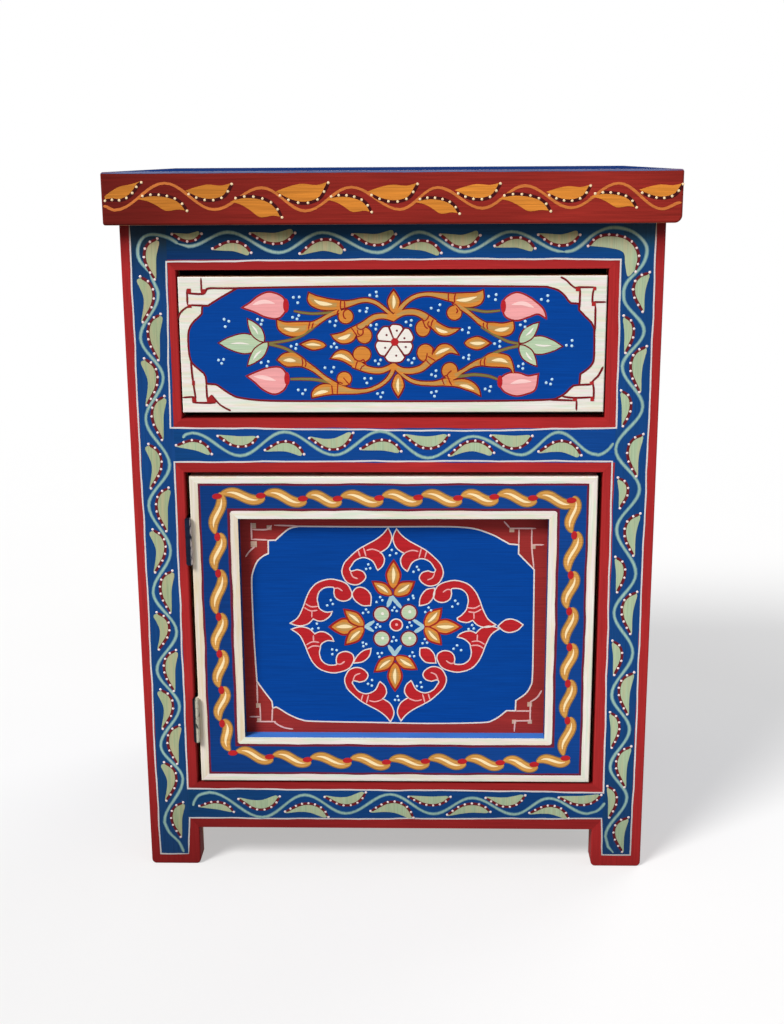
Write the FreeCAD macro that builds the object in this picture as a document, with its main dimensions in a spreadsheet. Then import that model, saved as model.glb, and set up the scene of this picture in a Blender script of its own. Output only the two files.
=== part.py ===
import FreeCAD, Part
import math
import os
import re
import Sketcher

# A painted bedside cabinet: a front frame on two side planks, a thick top, one drawer over one door.
# X runs to the right, Y to the back and Z up. The origin is on the floor, under the middle of the top.

SIZES = {
    # the whole cabinet and its top
    "cabinet_height": 600,
    "top_width": 455,
    "top_depth": 330,
    "top_thickness": 41,
    "top_overhang": 10.7,
    "top_arris": 2,
    "arris": 1,
    "worn_corner": 6,
    # front frame
    "frame_thickness": 20,
    "stile_width": 43.6,
    "foot_height": 35.5,
    "foot_corner": 4,
    "top_rail_height": 35.7,
    "drawer_opening_height": 120.8,
    "middle_rail_height": 45,
    "bottom_rail_height": 42.7,
    "tenon_length": 24,
    "tenon_thickness": 7,
    "tenon_shoulder": 5,
    "glue_gap": 0.1,
    # side planks, back and inner boards
    "side_thickness": 18,
    "side_foot_depth": 44,
    "back_thickness": 5,
    "rebate_width": 9,
    "board_thickness": 12,
    "cleat_width": 18,
    # drawer
    "drawer_side_gap": 1.2,
    "drawer_lower_gap": 5.1,
    "drawer_upper_gap": 5.5,
    "drawer_front_thickness": 18,
    "drawer_length": 290,
    "drawer_side_thickness": 14,
    "drawer_side_drop": 10,
    "drawer_lap": 10,
    "drawer_back_thickness": 12,
    "drawer_bottom_thickness": 4,
    "drawer_bottom_rise": 8,
    "drawer_bottom_groove": 5,
    "runner_height": 12,
    "runner_reach": 7.5,
    "running_gap": 0.3,
    "guide_height": 40,
    # door
    "latch_gap": 3.7,
    "door_upper_gap": 4,
    "door_lower_gap": 2,
    "door_thickness": 20,
    "door_stile_width": 39.6,
    "door_top_rail_height": 36,
    "door_bottom_rail_height": 41,
    "panel_recess": 12,
    "panel_thickness": 5,
    "panel_groove": 8,
    "panel_air": 1,
    # hinges
    "leaf_thickness": 1.2,
    "leaf_gap": 1.3,
    "leaf_depth": 17,
    "hinge_length": 39,
    "knuckle_radius": 2.75,
    "knuckle_gap": 0.3,
    "pin_radius": 1.2,
    "pin_fit": 0.05,
    "pin_head_radius": 2.1,
    "pin_head_height": 0.9,
    "upper_hinge_drop": 55,
    "lower_hinge_rise": 58,
    # catch
    "catch_width": 46,
    "catch_height": 13,
    "catch_depth": 15,
    "catch_inset": 30,
    "magnet_width": 26,
    "magnet_height": 7,
    "magnet_depth": 8,
    "catch_air": 0.4,
    "strike_width": 32,
    "strike_height": 7,
    "strike_thickness": 1,
    # fasteners
    "hinge_screw_radius": 1.3,
    "hinge_screw_head": 2.4,
    "hinge_screw_length": 13,
    "wood_screw_radius": 1.8,
    "wood_screw_head": 3.6,
    "wood_screw_bite": 11,
    "nail_radius": 0.9,
    "nail_length": 24,
    "screw_fit": 0.05,
    "cut_overrun": 3,
}

# Places worked out from the sizes, written as sums
TOP_HALF = "(top_width / 2)"
BODY_HALF = f"({TOP_HALF} - top_overhang)"
BACK = "(top_depth / 2)"
FRONT = "(top_overhang - top_depth / 2)"
FRAME_BACK = f"({FRONT} + frame_thickness)"
BACK_INNER = f"({BACK} - back_thickness)"
OPENING_HALF = f"({BODY_HALF} - stile_width)"
SIDE_INNER = f"({BODY_HALF} - side_thickness)"
BODY_TOP = "(cabinet_height - top_thickness)"
DRAWER_OPENING_TOP = f"({BODY_TOP} - top_rail_height)"
DRAWER_OPENING_LOW = f"({DRAWER_OPENING_TOP} - drawer_opening_height)"
DOOR_OPENING_TOP = f"({DRAWER_OPENING_LOW} - middle_rail_height)"
DOOR_OPENING_LOW = "(foot_height + bottom_rail_height)"

DRAWER_HALF = f"({OPENING_HALF} - drawer_side_gap)"
DRAWER_LOW = f"({DRAWER_OPENING_LOW} + drawer_lower_gap)"
DRAWER_HIGH = f"({DRAWER_OPENING_TOP} - drawer_upper_gap)"
DRAWER_SIDE_HIGH = f"({DRAWER_HIGH} - drawer_side_drop)"
DRAWER_SIDE_FRONT = f"({FRONT} + drawer_front_thickness - drawer_lap)"
DRAWER_END = f"({FRONT} + drawer_length)"
DRAWER_INNER = f"({DRAWER_HALF} - drawer_side_thickness)"
DRAWER_FLOOR = f"({DRAWER_LOW} + drawer_bottom_rise)"
RUNNER_MIDDLE = f"(({DRAWER_LOW} + {DRAWER_SIDE_HIGH}) / 2)"
RUNNER_LOW = f"({RUNNER_MIDDLE} - runner_height / 2)"
RUNNER_HIGH = f"({RUNNER_MIDDLE} + runner_height / 2)"

HINGE_GAP = "(2 * leaf_thickness + leaf_gap)"
HINGE_X = f"({HINGE_GAP} / 2 - {OPENING_HALF})"
HINGE_Y = f"({FRONT} - knuckle_radius)"
DOOR_LEFT = f"({HINGE_GAP} - {OPENING_HALF})"
DOOR_RIGHT = f"({OPENING_HALF} - latch_gap)"
DOOR_LOW = f"({DOOR_OPENING_LOW} + door_lower_gap)"
DOOR_HIGH = f"({DOOR_OPENING_TOP} - door_upper_gap)"
DOOR_BACK = f"({FRONT} + door_thickness)"
PANEL_LEFT = f"({DOOR_LEFT} + door_stile_width)"
PANEL_RIGHT = f"({DOOR_RIGHT} - door_stile_width)"
PANEL_LOW = f"({DOOR_LOW} + door_bottom_rail_height)"
PANEL_HIGH = f"({DOOR_HIGH} - door_top_rail_height)"
PANEL_FRONT = f"({FRONT} + panel_recess)"
PANEL_BACK = f"({PANEL_FRONT} + panel_thickness)"
UPPER_HINGE_Z = f"({DOOR_HIGH} - upper_hinge_drop)"
LOWER_HINGE_Z = f"({DOOR_LOW} + lower_hinge_rise)"

KNUCKLES = 5

doc = FreeCAD.newDocument("painted_cabinet")
sizes = doc.addObject("Spreadsheet::Sheet", "sizes")
for row, (alias, value) in enumerate(SIZES.items(), start=1):
    sizes.set(f"A{row}", alias)
    sizes.set(f"B{row}", str(value))
    sizes.setAlias(f"B{row}", alias)
doc.recompute()

pieces = []


def bound(words):
    """The sum with each size's name pointing at its cell in the sheet."""
    def to_cell(word):
        return "sizes." + word.group() if word.group() in SIZES else word.group()
    return re.sub("[a-z_]+", to_cell, words)


def bind(thing, target, words):
    thing.setExpression(target, bound(words))


def place(thing, x, y, z):
    for axis, words in zip("xyz", (x, y, z)):
        bind(thing, f".Placement.Base.{axis}", words)


def piece(thing, name):
    """Marks a finished sub-part: its label names its file."""
    thing.Label = name
    pieces.append(thing)
    return thing


def block(label, x, y, z):
    """A block between two places along each axis."""
    made = doc.addObject("Part::Box", label)
    for target, (low, high) in zip(("Length", "Width", "Height"), (x, y, z)):
        bind(made, target, f"({high}) - ({low})")
    place(made, x[0], y[0], z[0])
    return made


TURNS = {
    "+x": FreeCAD.Rotation(FreeCAD.Vector(0, 1, 0), 90),
    "-x": FreeCAD.Rotation(FreeCAD.Vector(0, 1, 0), -90),
    "-y": FreeCAD.Rotation(FreeCAD.Vector(1, 0, 0), 90),
    "+z": FreeCAD.Rotation(),
}


def rod(label, start, toward, radius, length):
    """A round rod from its start along one axis."""
    made = doc.addObject("Part::Cylinder", label)
    bind(made, "Radius", radius)
    bind(made, "Height", length)
    made.Placement.Rotation = TURNS[toward]
    place(made, *start)
    return made


def cone(label, start, toward, wide, narrow, length):
    """A cone that starts wide and narrows along one axis."""
    made = doc.addObject("Part::Cone", label)
    bind(made, "Radius1", wide)
    bind(made, "Radius2", narrow)
    bind(made, "Height", length)
    made.Placement.Rotation = TURNS[toward]
    place(made, *start)
    return made


def joined(label, parts):
    made = doc.addObject("Part::MultiFuse", label)
    made.Shapes = parts
    made.Refine = True
    return made


def together(label, parts):
    """Separate solids kept side by side in one sub-part."""
    made = doc.addObject("Part::Compound", label)
    made.Links = parts
    return made


def cut(label, base, tools):
    made = doc.addObject("Part::Cut", label)
    made.Base = base
    made.Tool = tools[0] if len(tools) == 1 else together(label + "_tools", tools)
    made.Refine = True
    return made


# Screws and nails. Each stands for one drilled place: the same call makes the fastener or its hole.

def screw(label, start, toward, radius, head, length, grown="0"):
    """A countersunk screw whose head is level with its start. A grown one is its hole."""
    sink = cone(label + "_head", start, toward, f"{head} + {grown}", f"{radius} + {grown}",
                f"{head} - {radius}")
    shank = rod(label + "_shank", start, toward, f"{radius} + {grown}", f"({length}) + {grown}")
    return joined(label, [sink, shank])


def wood_screw(label, start, toward, length, grown="0"):
    return screw(label, start, toward, "wood_screw_radius", "wood_screw_head", length, grown)


def small_screw(label, start, toward, length, grown="0"):
    return screw(label, start, toward, "hinge_screw_radius", "hinge_screw_head", length, grown)


def nail(label, start, toward, grown="0"):
    return rod(label, start, toward, f"nail_radius + {grown}", f"nail_length + {grown}")


def along(low, high, share):
    return f"({low} + ({high} - {low}) * {share})"


def about(middle, half):
    """A stretch that reaches the same way to both sides of its middle."""
    return (f"{middle} - {half}", f"{middle} + {half}")


def mirrored_span(low, high, side):
    """A stretch along X on the right, or its mirror image on the left."""
    return (low, high) if side == "right" else (f"-({high})", f"-({low})")


CLEAT_SHARES = (0.2, 0.8)
CLEAT_UP_SHARES = (0.35, 0.65)
BACK_NAIL_SHARES = (0.08, 0.3, 0.5, 0.7, 0.92)
BOARD_NAIL_SHARES = (0.2, 0.5, 0.8)
RUNNER_SHARES = (0.15, 0.5, 0.85)
DRAWER_NAIL_SHARES = (0.25, 0.75)
LEAF_SCREW_SHARES = (0.2, 0.5, 0.8)
CATCH_SCREW_SHARES = (0.12, 0.88)


def cleat_screws(tag, grown="0"):
    """Screws from each top cleat up into the top, and from every cleat into its side plank."""
    made = []
    heights = {
        "top": f"{BODY_TOP} - cleat_width / 2",
        "divider": f"{DOOR_OPENING_TOP} - cleat_width / 2",
        "floor": f"{DOOR_OPENING_LOW} - board_thickness - cleat_width / 2",
    }
    for side, sign, toward in (("left", "-", "-x"), ("right", "", "+x")):
        inner = f"{sign}({SIDE_INNER} - cleat_width)"
        for level, height in heights.items():
            for number, share in enumerate(CLEAT_SHARES, start=1):
                depth = along(FRAME_BACK, BACK_INNER, share)
                made.append(wood_screw(f"{tag}_{side}_{level}_{number}", (inner, depth, height), toward,
                                       "cleat_width + wood_screw_bite", grown))
        middle = f"{sign}({SIDE_INNER} - cleat_width / 2)"
        for number, share in enumerate(CLEAT_UP_SHARES, start=1):
            depth = along(FRAME_BACK, BACK_INNER, share)
            made.append(wood_screw(f"{tag}_{side}_up_{number}", (middle, depth, f"{BODY_TOP} - cleat_width"),
                                   "+z", "cleat_width + 2 * wood_screw_bite", grown))
    return made


def runner_screws(tag, grown="0"):
    """Screws through runner and guide into the side plank."""
    made = []
    for side, sign, toward in (("left", "-", "-x"), ("right", "", "+x")):
        for number, share in enumerate(RUNNER_SHARES, start=1):
            depth = along(FRAME_BACK, BACK_INNER, share)
            start = (f"{sign}({OPENING_HALF} - runner_reach)", depth, RUNNER_MIDDLE)
            length = "runner_reach + stile_width - side_thickness + wood_screw_bite"
            made.append(wood_screw(f"{tag}_{side}_{number}", start, toward, length, grown))
    return made


def back_nails(tag, grown="0"):
    """Nails through the back panel into the side planks and the rear edges of both boards."""
    made = []
    for side, sign in (("left", "-"), ("right", "")):
        for number, share in enumerate(BACK_NAIL_SHARES, start=1):
            start = (f"{sign}({SIDE_INNER} + rebate_width / 2)", BACK, along("foot_height", BODY_TOP, share))
            made.append(nail(f"{tag}_{side}_{number}", start, "-y", grown))
    for level, height in (("divider", f"{DOOR_OPENING_TOP} + board_thickness / 2"),
                          ("floor", f"{DOOR_OPENING_LOW} - board_thickness / 2")):
        for number, share in enumerate(BOARD_NAIL_SHARES, start=1):
            start = (along(f"-{SIDE_INNER}", SIDE_INNER, share), BACK, height)
            made.append(nail(f"{tag}_{level}_{number}", start, "-y", grown))
    return made


def drawer_nails(tag, grown="0"):
    """Nails through the drawer's sides into its front and back."""
    made = []
    rows = {
        "front": f"{FRONT} + drawer_front_thickness - drawer_lap / 2",
        "back": f"{DRAWER_END} - drawer_back_thickness / 2",
    }
    for side, sign, toward in (("left", "-", "+x"), ("right", "", "-x")):
        for row, depth in rows.items():
            for number, share in enumerate(DRAWER_NAIL_SHARES, start=1):
                start = (f"{sign}{DRAWER_HALF}", depth, along(DRAWER_FLOOR, DRAWER_SIDE_HIGH, share))
                made.append(nail(f"{tag}_{side}_{row}_{number}", start, toward, grown))
    return made


HINGES = {"upper": UPPER_HINGE_Z, "lower": LOWER_HINGE_Z}
LEAF_SCREW_Y = f"({FRONT} + leaf_depth / 2)"


def leaf_screws(tag, side, grown="0"):
    """Screws through the hinge leaves into the frame's left upright or the door's edge."""
    start_x, toward = {
        "frame": (f"leaf_thickness - {OPENING_HALF}", "-x"),
        "door": (f"{DOOR_LEFT} - leaf_thickness", "+x"),
    }[side]
    made = []
    for hinge, middle in HINGES.items():
        low, high = about(middle, "hinge_length / 2")
        for number, share in enumerate(LEAF_SCREW_SHARES, start=1):
            start = (start_x, LEAF_SCREW_Y, along(low, high, share))
            made.append(small_screw(f"{tag}_{hinge}_{number}", start, toward, "hinge_screw_length", grown))
    return made


CATCH_RIGHT = f"({OPENING_HALF} - catch_inset)"
CATCH_LEFT = f"({CATCH_RIGHT} - catch_width)"
CATCH_MIDDLE = f"(({CATCH_LEFT} + {CATCH_RIGHT}) / 2)"
CATCH_FRONT = f"({DOOR_BACK} + strike_thickness + catch_air)"
CATCH_BACK = f"({CATCH_FRONT} + catch_depth)"
CATCH_LOW = f"({DOOR_OPENING_TOP} - catch_height)"
MAGNET_HEIGHT_SHARE = 0.4
CATCH_HEIGHT_MIDDLE = f"({CATCH_LOW} + catch_height * {MAGNET_HEIGHT_SHARE})"


def catch_screws(tag, grown="0"):
    """Screws up through the catch's ears into the divider board."""
    made = []
    for number, share in enumerate(CATCH_SCREW_SHARES, start=1):
        start = (along(CATCH_LEFT, CATCH_RIGHT, share), f"({CATCH_FRONT} + {CATCH_BACK}) / 2", CATCH_LOW)
        length = "catch_height + board_thickness / 2"
        made.append(small_screw(f"{tag}_{number}", start, "+z", length, grown))
    return made


def strike_screw(tag, grown="0"):
    start = (CATCH_MIDDLE, f"{DOOR_BACK} + strike_thickness", CATCH_HEIGHT_MIDDLE)
    return small_screw(tag, start, "-y", "hinge_screw_length", grown)


# Bodies with sketches

def new_body(label, x, y, z):
    body = doc.addObject("PartDesign::Body", label)
    place(body, x, y, z)
    return body


def origin_plane(body, role):
    return next(feature for feature in body.Origin.OriginFeatures if feature.Role == role)


def outline(body, label, role, corners):
    """A closed sketch of straight runs. Each corner is a pair of sums, counted from the body's own origin."""
    sketch = body.newObject("Sketcher::SketchObject", label)
    sketch.AttachmentSupport = [(origin_plane(body, role), "")]
    sketch.MapMode = "FlatFace"
    count = len(corners)
    starts = [FreeCAD.Vector(math.cos(math.tau * number / count), math.sin(math.tau * number / count), 0)
              for number in range(count)]
    for number in range(count):
        sketch.addGeometry(Part.LineSegment(starts[number], starts[(number + 1) % count]), False)
    for number in range(count):
        sketch.addConstraint(Sketcher.Constraint("Coincident", number, 2, (number + 1) % count, 1))
    for number, corner in enumerate(corners):
        for kind, axis, words in zip(("DistanceX", "DistanceY"), (-2, -1), corner):
            if words == "0":
                sketch.addConstraint(Sketcher.Constraint("PointOnObject", number, 1, axis))
                continue
            index = sketch.addConstraint(Sketcher.Constraint(kind, -1, 1, number, 1, 1.0))
            bind(sketch, f"Constraints[{index}]", words)
    return sketch


def padded(body, label, sketch, length, backward=False):
    pad = body.newObject("PartDesign::Pad", label)
    pad.Profile = sketch
    pad.Reversed = backward
    bind(pad, "Length", length)
    body.Tip = pad
    return pad


def edges_between(shape, pairs):
    """The names of the edges where two named sides of the shape's box meet."""
    box = shape.BoundBox
    sides = {
        "left": lambda spot: abs(spot.x - box.XMin), "right": lambda spot: abs(spot.x - box.XMax),
        "front": lambda spot: abs(spot.y - box.YMin), "back": lambda spot: abs(spot.y - box.YMax),
        "bottom": lambda spot: abs(spot.z - box.ZMin), "top": lambda spot: abs(spot.z - box.ZMax),
    }
    tolerance = box.DiagonalLength * 1e-6
    names = []
    for number, edge in enumerate(shape.Edges, start=1):
        touched = {side for side, distance in sides.items() if distance(edge.CenterOfMass) < tolerance}
        if any(touched.issuperset(pair.split()) for pair in pairs):
            names.append(f"Edge{number}")
    return names


def softened(body, label, radius, pairs):
    """Rounds the edges between pairs of sides, such as 'front left'."""
    doc.recompute()
    base = body.Tip
    fillet = body.newObject("PartDesign::Fillet", label)
    fillet.Base = (base, edges_between(base.Shape, pairs))
    bind(fillet, "Radius", radius)
    body.Tip = fillet
    return fillet


def plank(label, x, y, z, radius=None, pairs=()):
    """A board between two places along each axis, drawn from the front, with some edges rounded."""
    body = new_body(label, x[0], y[0], z[0])
    wide = f"({x[1]}) - ({x[0]})"
    high = f"({z[1]}) - ({z[0]})"
    corners = (("0", "0"), (wide, "0"), (wide, high), ("0", high))
    sketch = outline(body, label + "_outline", "XZ_Plane", corners)
    padded(body, label + "_pad", sketch, f"({y[1]}) - ({y[0]})", backward=True)
    if pairs:
        softened(body, label + "_edges", radius, pairs)
    return body


# Fasteners, and the same shapes a little larger as the holes they sit in

piece(together("cleat_screws", cleat_screws("cleat_screw")), "cleat_screws")
piece(together("runner_screws", runner_screws("runner_screw")), "runner_screws")
piece(together("back_panel_nails", back_nails("back_nail")), "back_panel_nails")
piece(together("drawer_nails", drawer_nails("drawer_nail")), "drawer_nails")
piece(together("hinge_frame_screws", leaf_screws("frame_leaf_screw", "frame")), "hinge_frame_screws")
piece(together("hinge_door_screws", leaf_screws("door_leaf_screw", "door")), "hinge_door_screws")
piece(together("catch_screws", catch_screws("catch_screw")), "catch_screws")
piece(strike_screw("strike_screw"), "strike_screw")

cleat_holes = together("cleat_holes", cleat_screws("cleat_hole", "screw_fit"))
runner_holes = together("runner_holes", runner_screws("runner_hole", "screw_fit"))
back_nail_holes = together("back_nail_holes", back_nails("back_nail_hole", "screw_fit"))
drawer_nail_holes = together("drawer_nail_holes", drawer_nails("drawer_nail_hole", "screw_fit"))
frame_leaf_holes = together("frame_leaf_holes", leaf_screws("frame_leaf_hole", "frame", "screw_fit"))
door_leaf_holes = together("door_leaf_holes", leaf_screws("door_leaf_hole", "door", "screw_fit"))
catch_holes = together("catch_holes", catch_screws("catch_hole", "screw_fit"))
strike_hole = strike_screw("strike_hole", "screw_fit")


def make_top():
    """The thick top board, flush at the back, with one corner worn rounder than the rest."""
    body = new_body("top_board_plank", f"-{TOP_HALF}", "-top_depth / 2", BODY_TOP)
    sketch = outline(body, "top_board_outline", "XY_Plane",
                     (("0", "0"), ("top_width", "0"), ("top_width", "top_depth"), ("0", "top_depth")))
    padded(body, "top_board_pad", sketch, "top_thickness")
    softened(body, "top_board_worn_edge", "worn_corner", ("right bottom",))
    softened(body, "top_board_edges", "top_arris",
             ("front top", "left top", "right top", "back top", "front bottom", "front left", "left bottom"))
    piece(cut("top_board", body, [cleat_holes]), "top_board")


def make_side_plank(side):
    """A side plank whose feet are left by a cut-out, with a rebate for the back panel."""
    depth = f"({BACK} - {FRAME_BACK})"
    front_foot = "(side_foot_depth - frame_thickness)"
    rear_foot = f"({depth} - side_foot_depth)"
    x = mirrored_span(SIDE_INNER, BODY_HALF, side)
    body = new_body(f"{side}_side_plank", x[0], FRAME_BACK, "0")
    corners = (("0", "0"), (front_foot, "0"), (front_foot, "foot_height"), (rear_foot, "foot_height"),
               (rear_foot, "0"), (depth, "0"), (depth, BODY_TOP), ("0", BODY_TOP))
    sketch = outline(body, f"{side}_side_outline", "YZ_Plane", corners)
    padded(body, f"{side}_side_pad", sketch, "side_thickness")
    rebate = block(f"{side}_side_rebate",
                   mirrored_span(f"{SIDE_INNER} - cut_overrun", f"{SIDE_INNER} + rebate_width", side),
                   (BACK_INNER, f"{BACK} + cut_overrun"), ("-cut_overrun", f"{BODY_TOP} + cut_overrun"))
    name = f"{side}_side_panel"
    piece(cut(name, body, [rebate, cleat_holes, runner_holes, back_nail_holes]), name)


RAILS = {
    "top_rail": (DRAWER_OPENING_TOP, BODY_TOP),
    "middle_rail": (DOOR_OPENING_TOP, DRAWER_OPENING_LOW),
    "bottom_rail": ("foot_height", DOOR_OPENING_LOW),
}
TENON_MIDDLE = f"(({FRONT} + {FRAME_BACK}) / 2)"


def make_rail(name):
    """A cross piece of the front frame with a tenon at each end."""
    low, high = RAILS[name]
    rail = block(name + "_bar", (f"-{OPENING_HALF}", OPENING_HALF), (FRONT, FRAME_BACK), (low, high))
    tenon = block(name + "_tenons", (f"-{OPENING_HALF} - tenon_length", f"{OPENING_HALF} + tenon_length"),
                  about(TENON_MIDDLE, "tenon_thickness / 2"),
                  (f"{low} + tenon_shoulder", f"{high} - tenon_shoulder"))
    piece(joined(name, [rail, tenon]), name)


def make_stile(side):
    """An upright of the front frame: it carries the rails and ends in a foot with rounded corners."""
    body = plank(f"{side}_stile_bar", mirrored_span(OPENING_HALF, BODY_HALF, side), (FRONT, FRAME_BACK),
                 ("0", BODY_TOP), "foot_corner", ("left bottom", "right bottom"))
    softened(body, f"{side}_stile_arris", "arris", (f"front {side}",))
    mortise_x = mirrored_span(f"{OPENING_HALF} - cut_overrun",
                              f"{OPENING_HALF} + tenon_length + glue_gap", side)
    mortise_y = about(TENON_MIDDLE, "(tenon_thickness / 2 + glue_gap)")
    tools = []
    for name, (low, high) in RAILS.items():
        mortise_z = (f"{low} + tenon_shoulder - glue_gap", f"{high} - tenon_shoulder + glue_gap")
        tools.append(block(f"{side}_{name}_mortise", mortise_x, mortise_y, mortise_z))
    if side == "left":
        tools.append(frame_leaf_holes)
    piece(cut(f"{side}_stile", body, tools), f"{side}_stile")


def make_inner_boards():
    """The cupboard's floor, the board over it, the back panel and the battens under them."""
    wide = (f"-{SIDE_INNER}", SIDE_INNER)
    deep = (FRAME_BACK, BACK_INNER)
    floor_z = (f"{DOOR_OPENING_LOW} - board_thickness", DOOR_OPENING_LOW)
    floor = block("bottom_board_blank", wide, deep, floor_z)
    piece(cut("bottom_board", floor, [back_nail_holes]), "bottom_board")
    divider = block("divider_blank", wide, deep, (DOOR_OPENING_TOP, f"{DOOR_OPENING_TOP} + board_thickness"))
    piece(cut("divider_board", divider, [back_nail_holes, catch_holes]), "divider_board")
    reach = f"({SIDE_INNER} + rebate_width - glue_gap)"
    back = block("back_panel_blank", (f"-{reach}", reach), (BACK_INNER, BACK), ("foot_height", BODY_TOP))
    piece(cut("back_panel", back, [back_nail_holes]), "back_panel")
    tops = {"top": BODY_TOP, "divider": DOOR_OPENING_TOP, "floor": floor_z[0]}
    for side in ("left", "right"):
        cleat_x = mirrored_span(f"{SIDE_INNER} - cleat_width", SIDE_INNER, side)
        for level, top in tops.items():
            name = f"{side}_{level}_cleat"
            blank = block(name + "_blank", cleat_x, deep, (f"{top} - cleat_width", top))
            piece(cut(name, blank, [cleat_holes]), name)


def make_runner(side):
    """The packing block on the side plank and the strip on it that the drawer's groove runs along."""
    deep = (FRAME_BACK, BACK_INNER)
    guide = block(f"{side}_guide_blank", mirrored_span(OPENING_HALF, SIDE_INNER, side), deep,
                  about(RUNNER_MIDDLE, "guide_height / 2"))
    piece(cut(f"{side}_drawer_guide", guide, [runner_holes]), f"{side}_drawer_guide")
    strip_x = mirrored_span(f"{OPENING_HALF} - runner_reach", OPENING_HALF, side)
    strip = block(f"{side}_runner_blank", strip_x, deep, (RUNNER_LOW, RUNNER_HIGH))
    piece(cut(f"{side}_drawer_runner", strip, [runner_holes]), f"{side}_drawer_runner")


def make_drawer():
    """The drawer: a lapped front, two grooved sides, a back and a bottom held in grooves."""
    front_back = f"({FRONT} + drawer_front_thickness)"
    edges = ("front left", "front right", "front top", "front bottom")
    face = plank("drawer_front_board", (f"-{DRAWER_HALF}", DRAWER_HALF), (FRONT, front_back),
                 (DRAWER_LOW, DRAWER_HIGH), "arris", edges)
    floor_slot = (f"{DRAWER_FLOOR} - glue_gap", f"{DRAWER_FLOOR} + drawer_bottom_thickness + glue_gap")
    slot_reach = f"({DRAWER_INNER} + drawer_bottom_groove)"
    tools = [block("drawer_front_slot", (f"-{slot_reach}", slot_reach),
                   (f"{front_back} - drawer_bottom_groove", f"{front_back} + cut_overrun"), floor_slot),
             drawer_nail_holes]
    for side in ("left", "right"):
        tools.append(block(f"drawer_front_lap_{side}",
                           mirrored_span(f"{DRAWER_INNER} - glue_gap", f"{DRAWER_HALF} + cut_overrun", side),
                           (DRAWER_SIDE_FRONT, f"{front_back} + cut_overrun"),
                           (f"{DRAWER_LOW} - cut_overrun", f"{DRAWER_SIDE_HIGH} + glue_gap")))
    piece(cut("drawer_front", face, tools), "drawer_front")
    for side in ("left", "right"):
        name = f"drawer_{side}_side"
        board = block(name + "_board", mirrored_span(DRAWER_INNER, DRAWER_HALF, side),
                      (DRAWER_SIDE_FRONT, DRAWER_END), (DRAWER_LOW, DRAWER_SIDE_HIGH))
        slot = block(name + "_slot", mirrored_span(f"{DRAWER_INNER} - cut_overrun", slot_reach, side),
                     (f"{DRAWER_SIDE_FRONT} - cut_overrun", f"{DRAWER_END} + cut_overrun"), floor_slot)
        groove = block(name + "_groove",
                       mirrored_span(f"{OPENING_HALF} - runner_reach - running_gap",
                                     f"{DRAWER_HALF} + cut_overrun", side),
                       (f"{FRAME_BACK} - running_gap", f"{DRAWER_END} + cut_overrun"),
                       (f"{RUNNER_LOW} - running_gap", f"{RUNNER_HIGH} + running_gap"))
        piece(cut(name, board, [slot, groove, drawer_nail_holes]), name)
    back = block("drawer_back_board", (f"-{DRAWER_INNER}", DRAWER_INNER),
                 (f"{DRAWER_END} - drawer_back_thickness", DRAWER_END),
                 (f"{DRAWER_FLOOR} + drawer_bottom_thickness", DRAWER_SIDE_HIGH))
    piece(cut("drawer_back", back, [drawer_nail_holes]), "drawer_back")
    bottom_half = f"({slot_reach} - glue_gap)"
    bottom = block("drawer_bottom_sheet", (f"-{bottom_half}", bottom_half),
                   (f"{front_back} - drawer_bottom_groove + glue_gap", DRAWER_END),
                   (DRAWER_FLOOR, f"{DRAWER_FLOOR} + drawer_bottom_thickness"))
    piece(bottom, "drawer_bottom")


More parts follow.
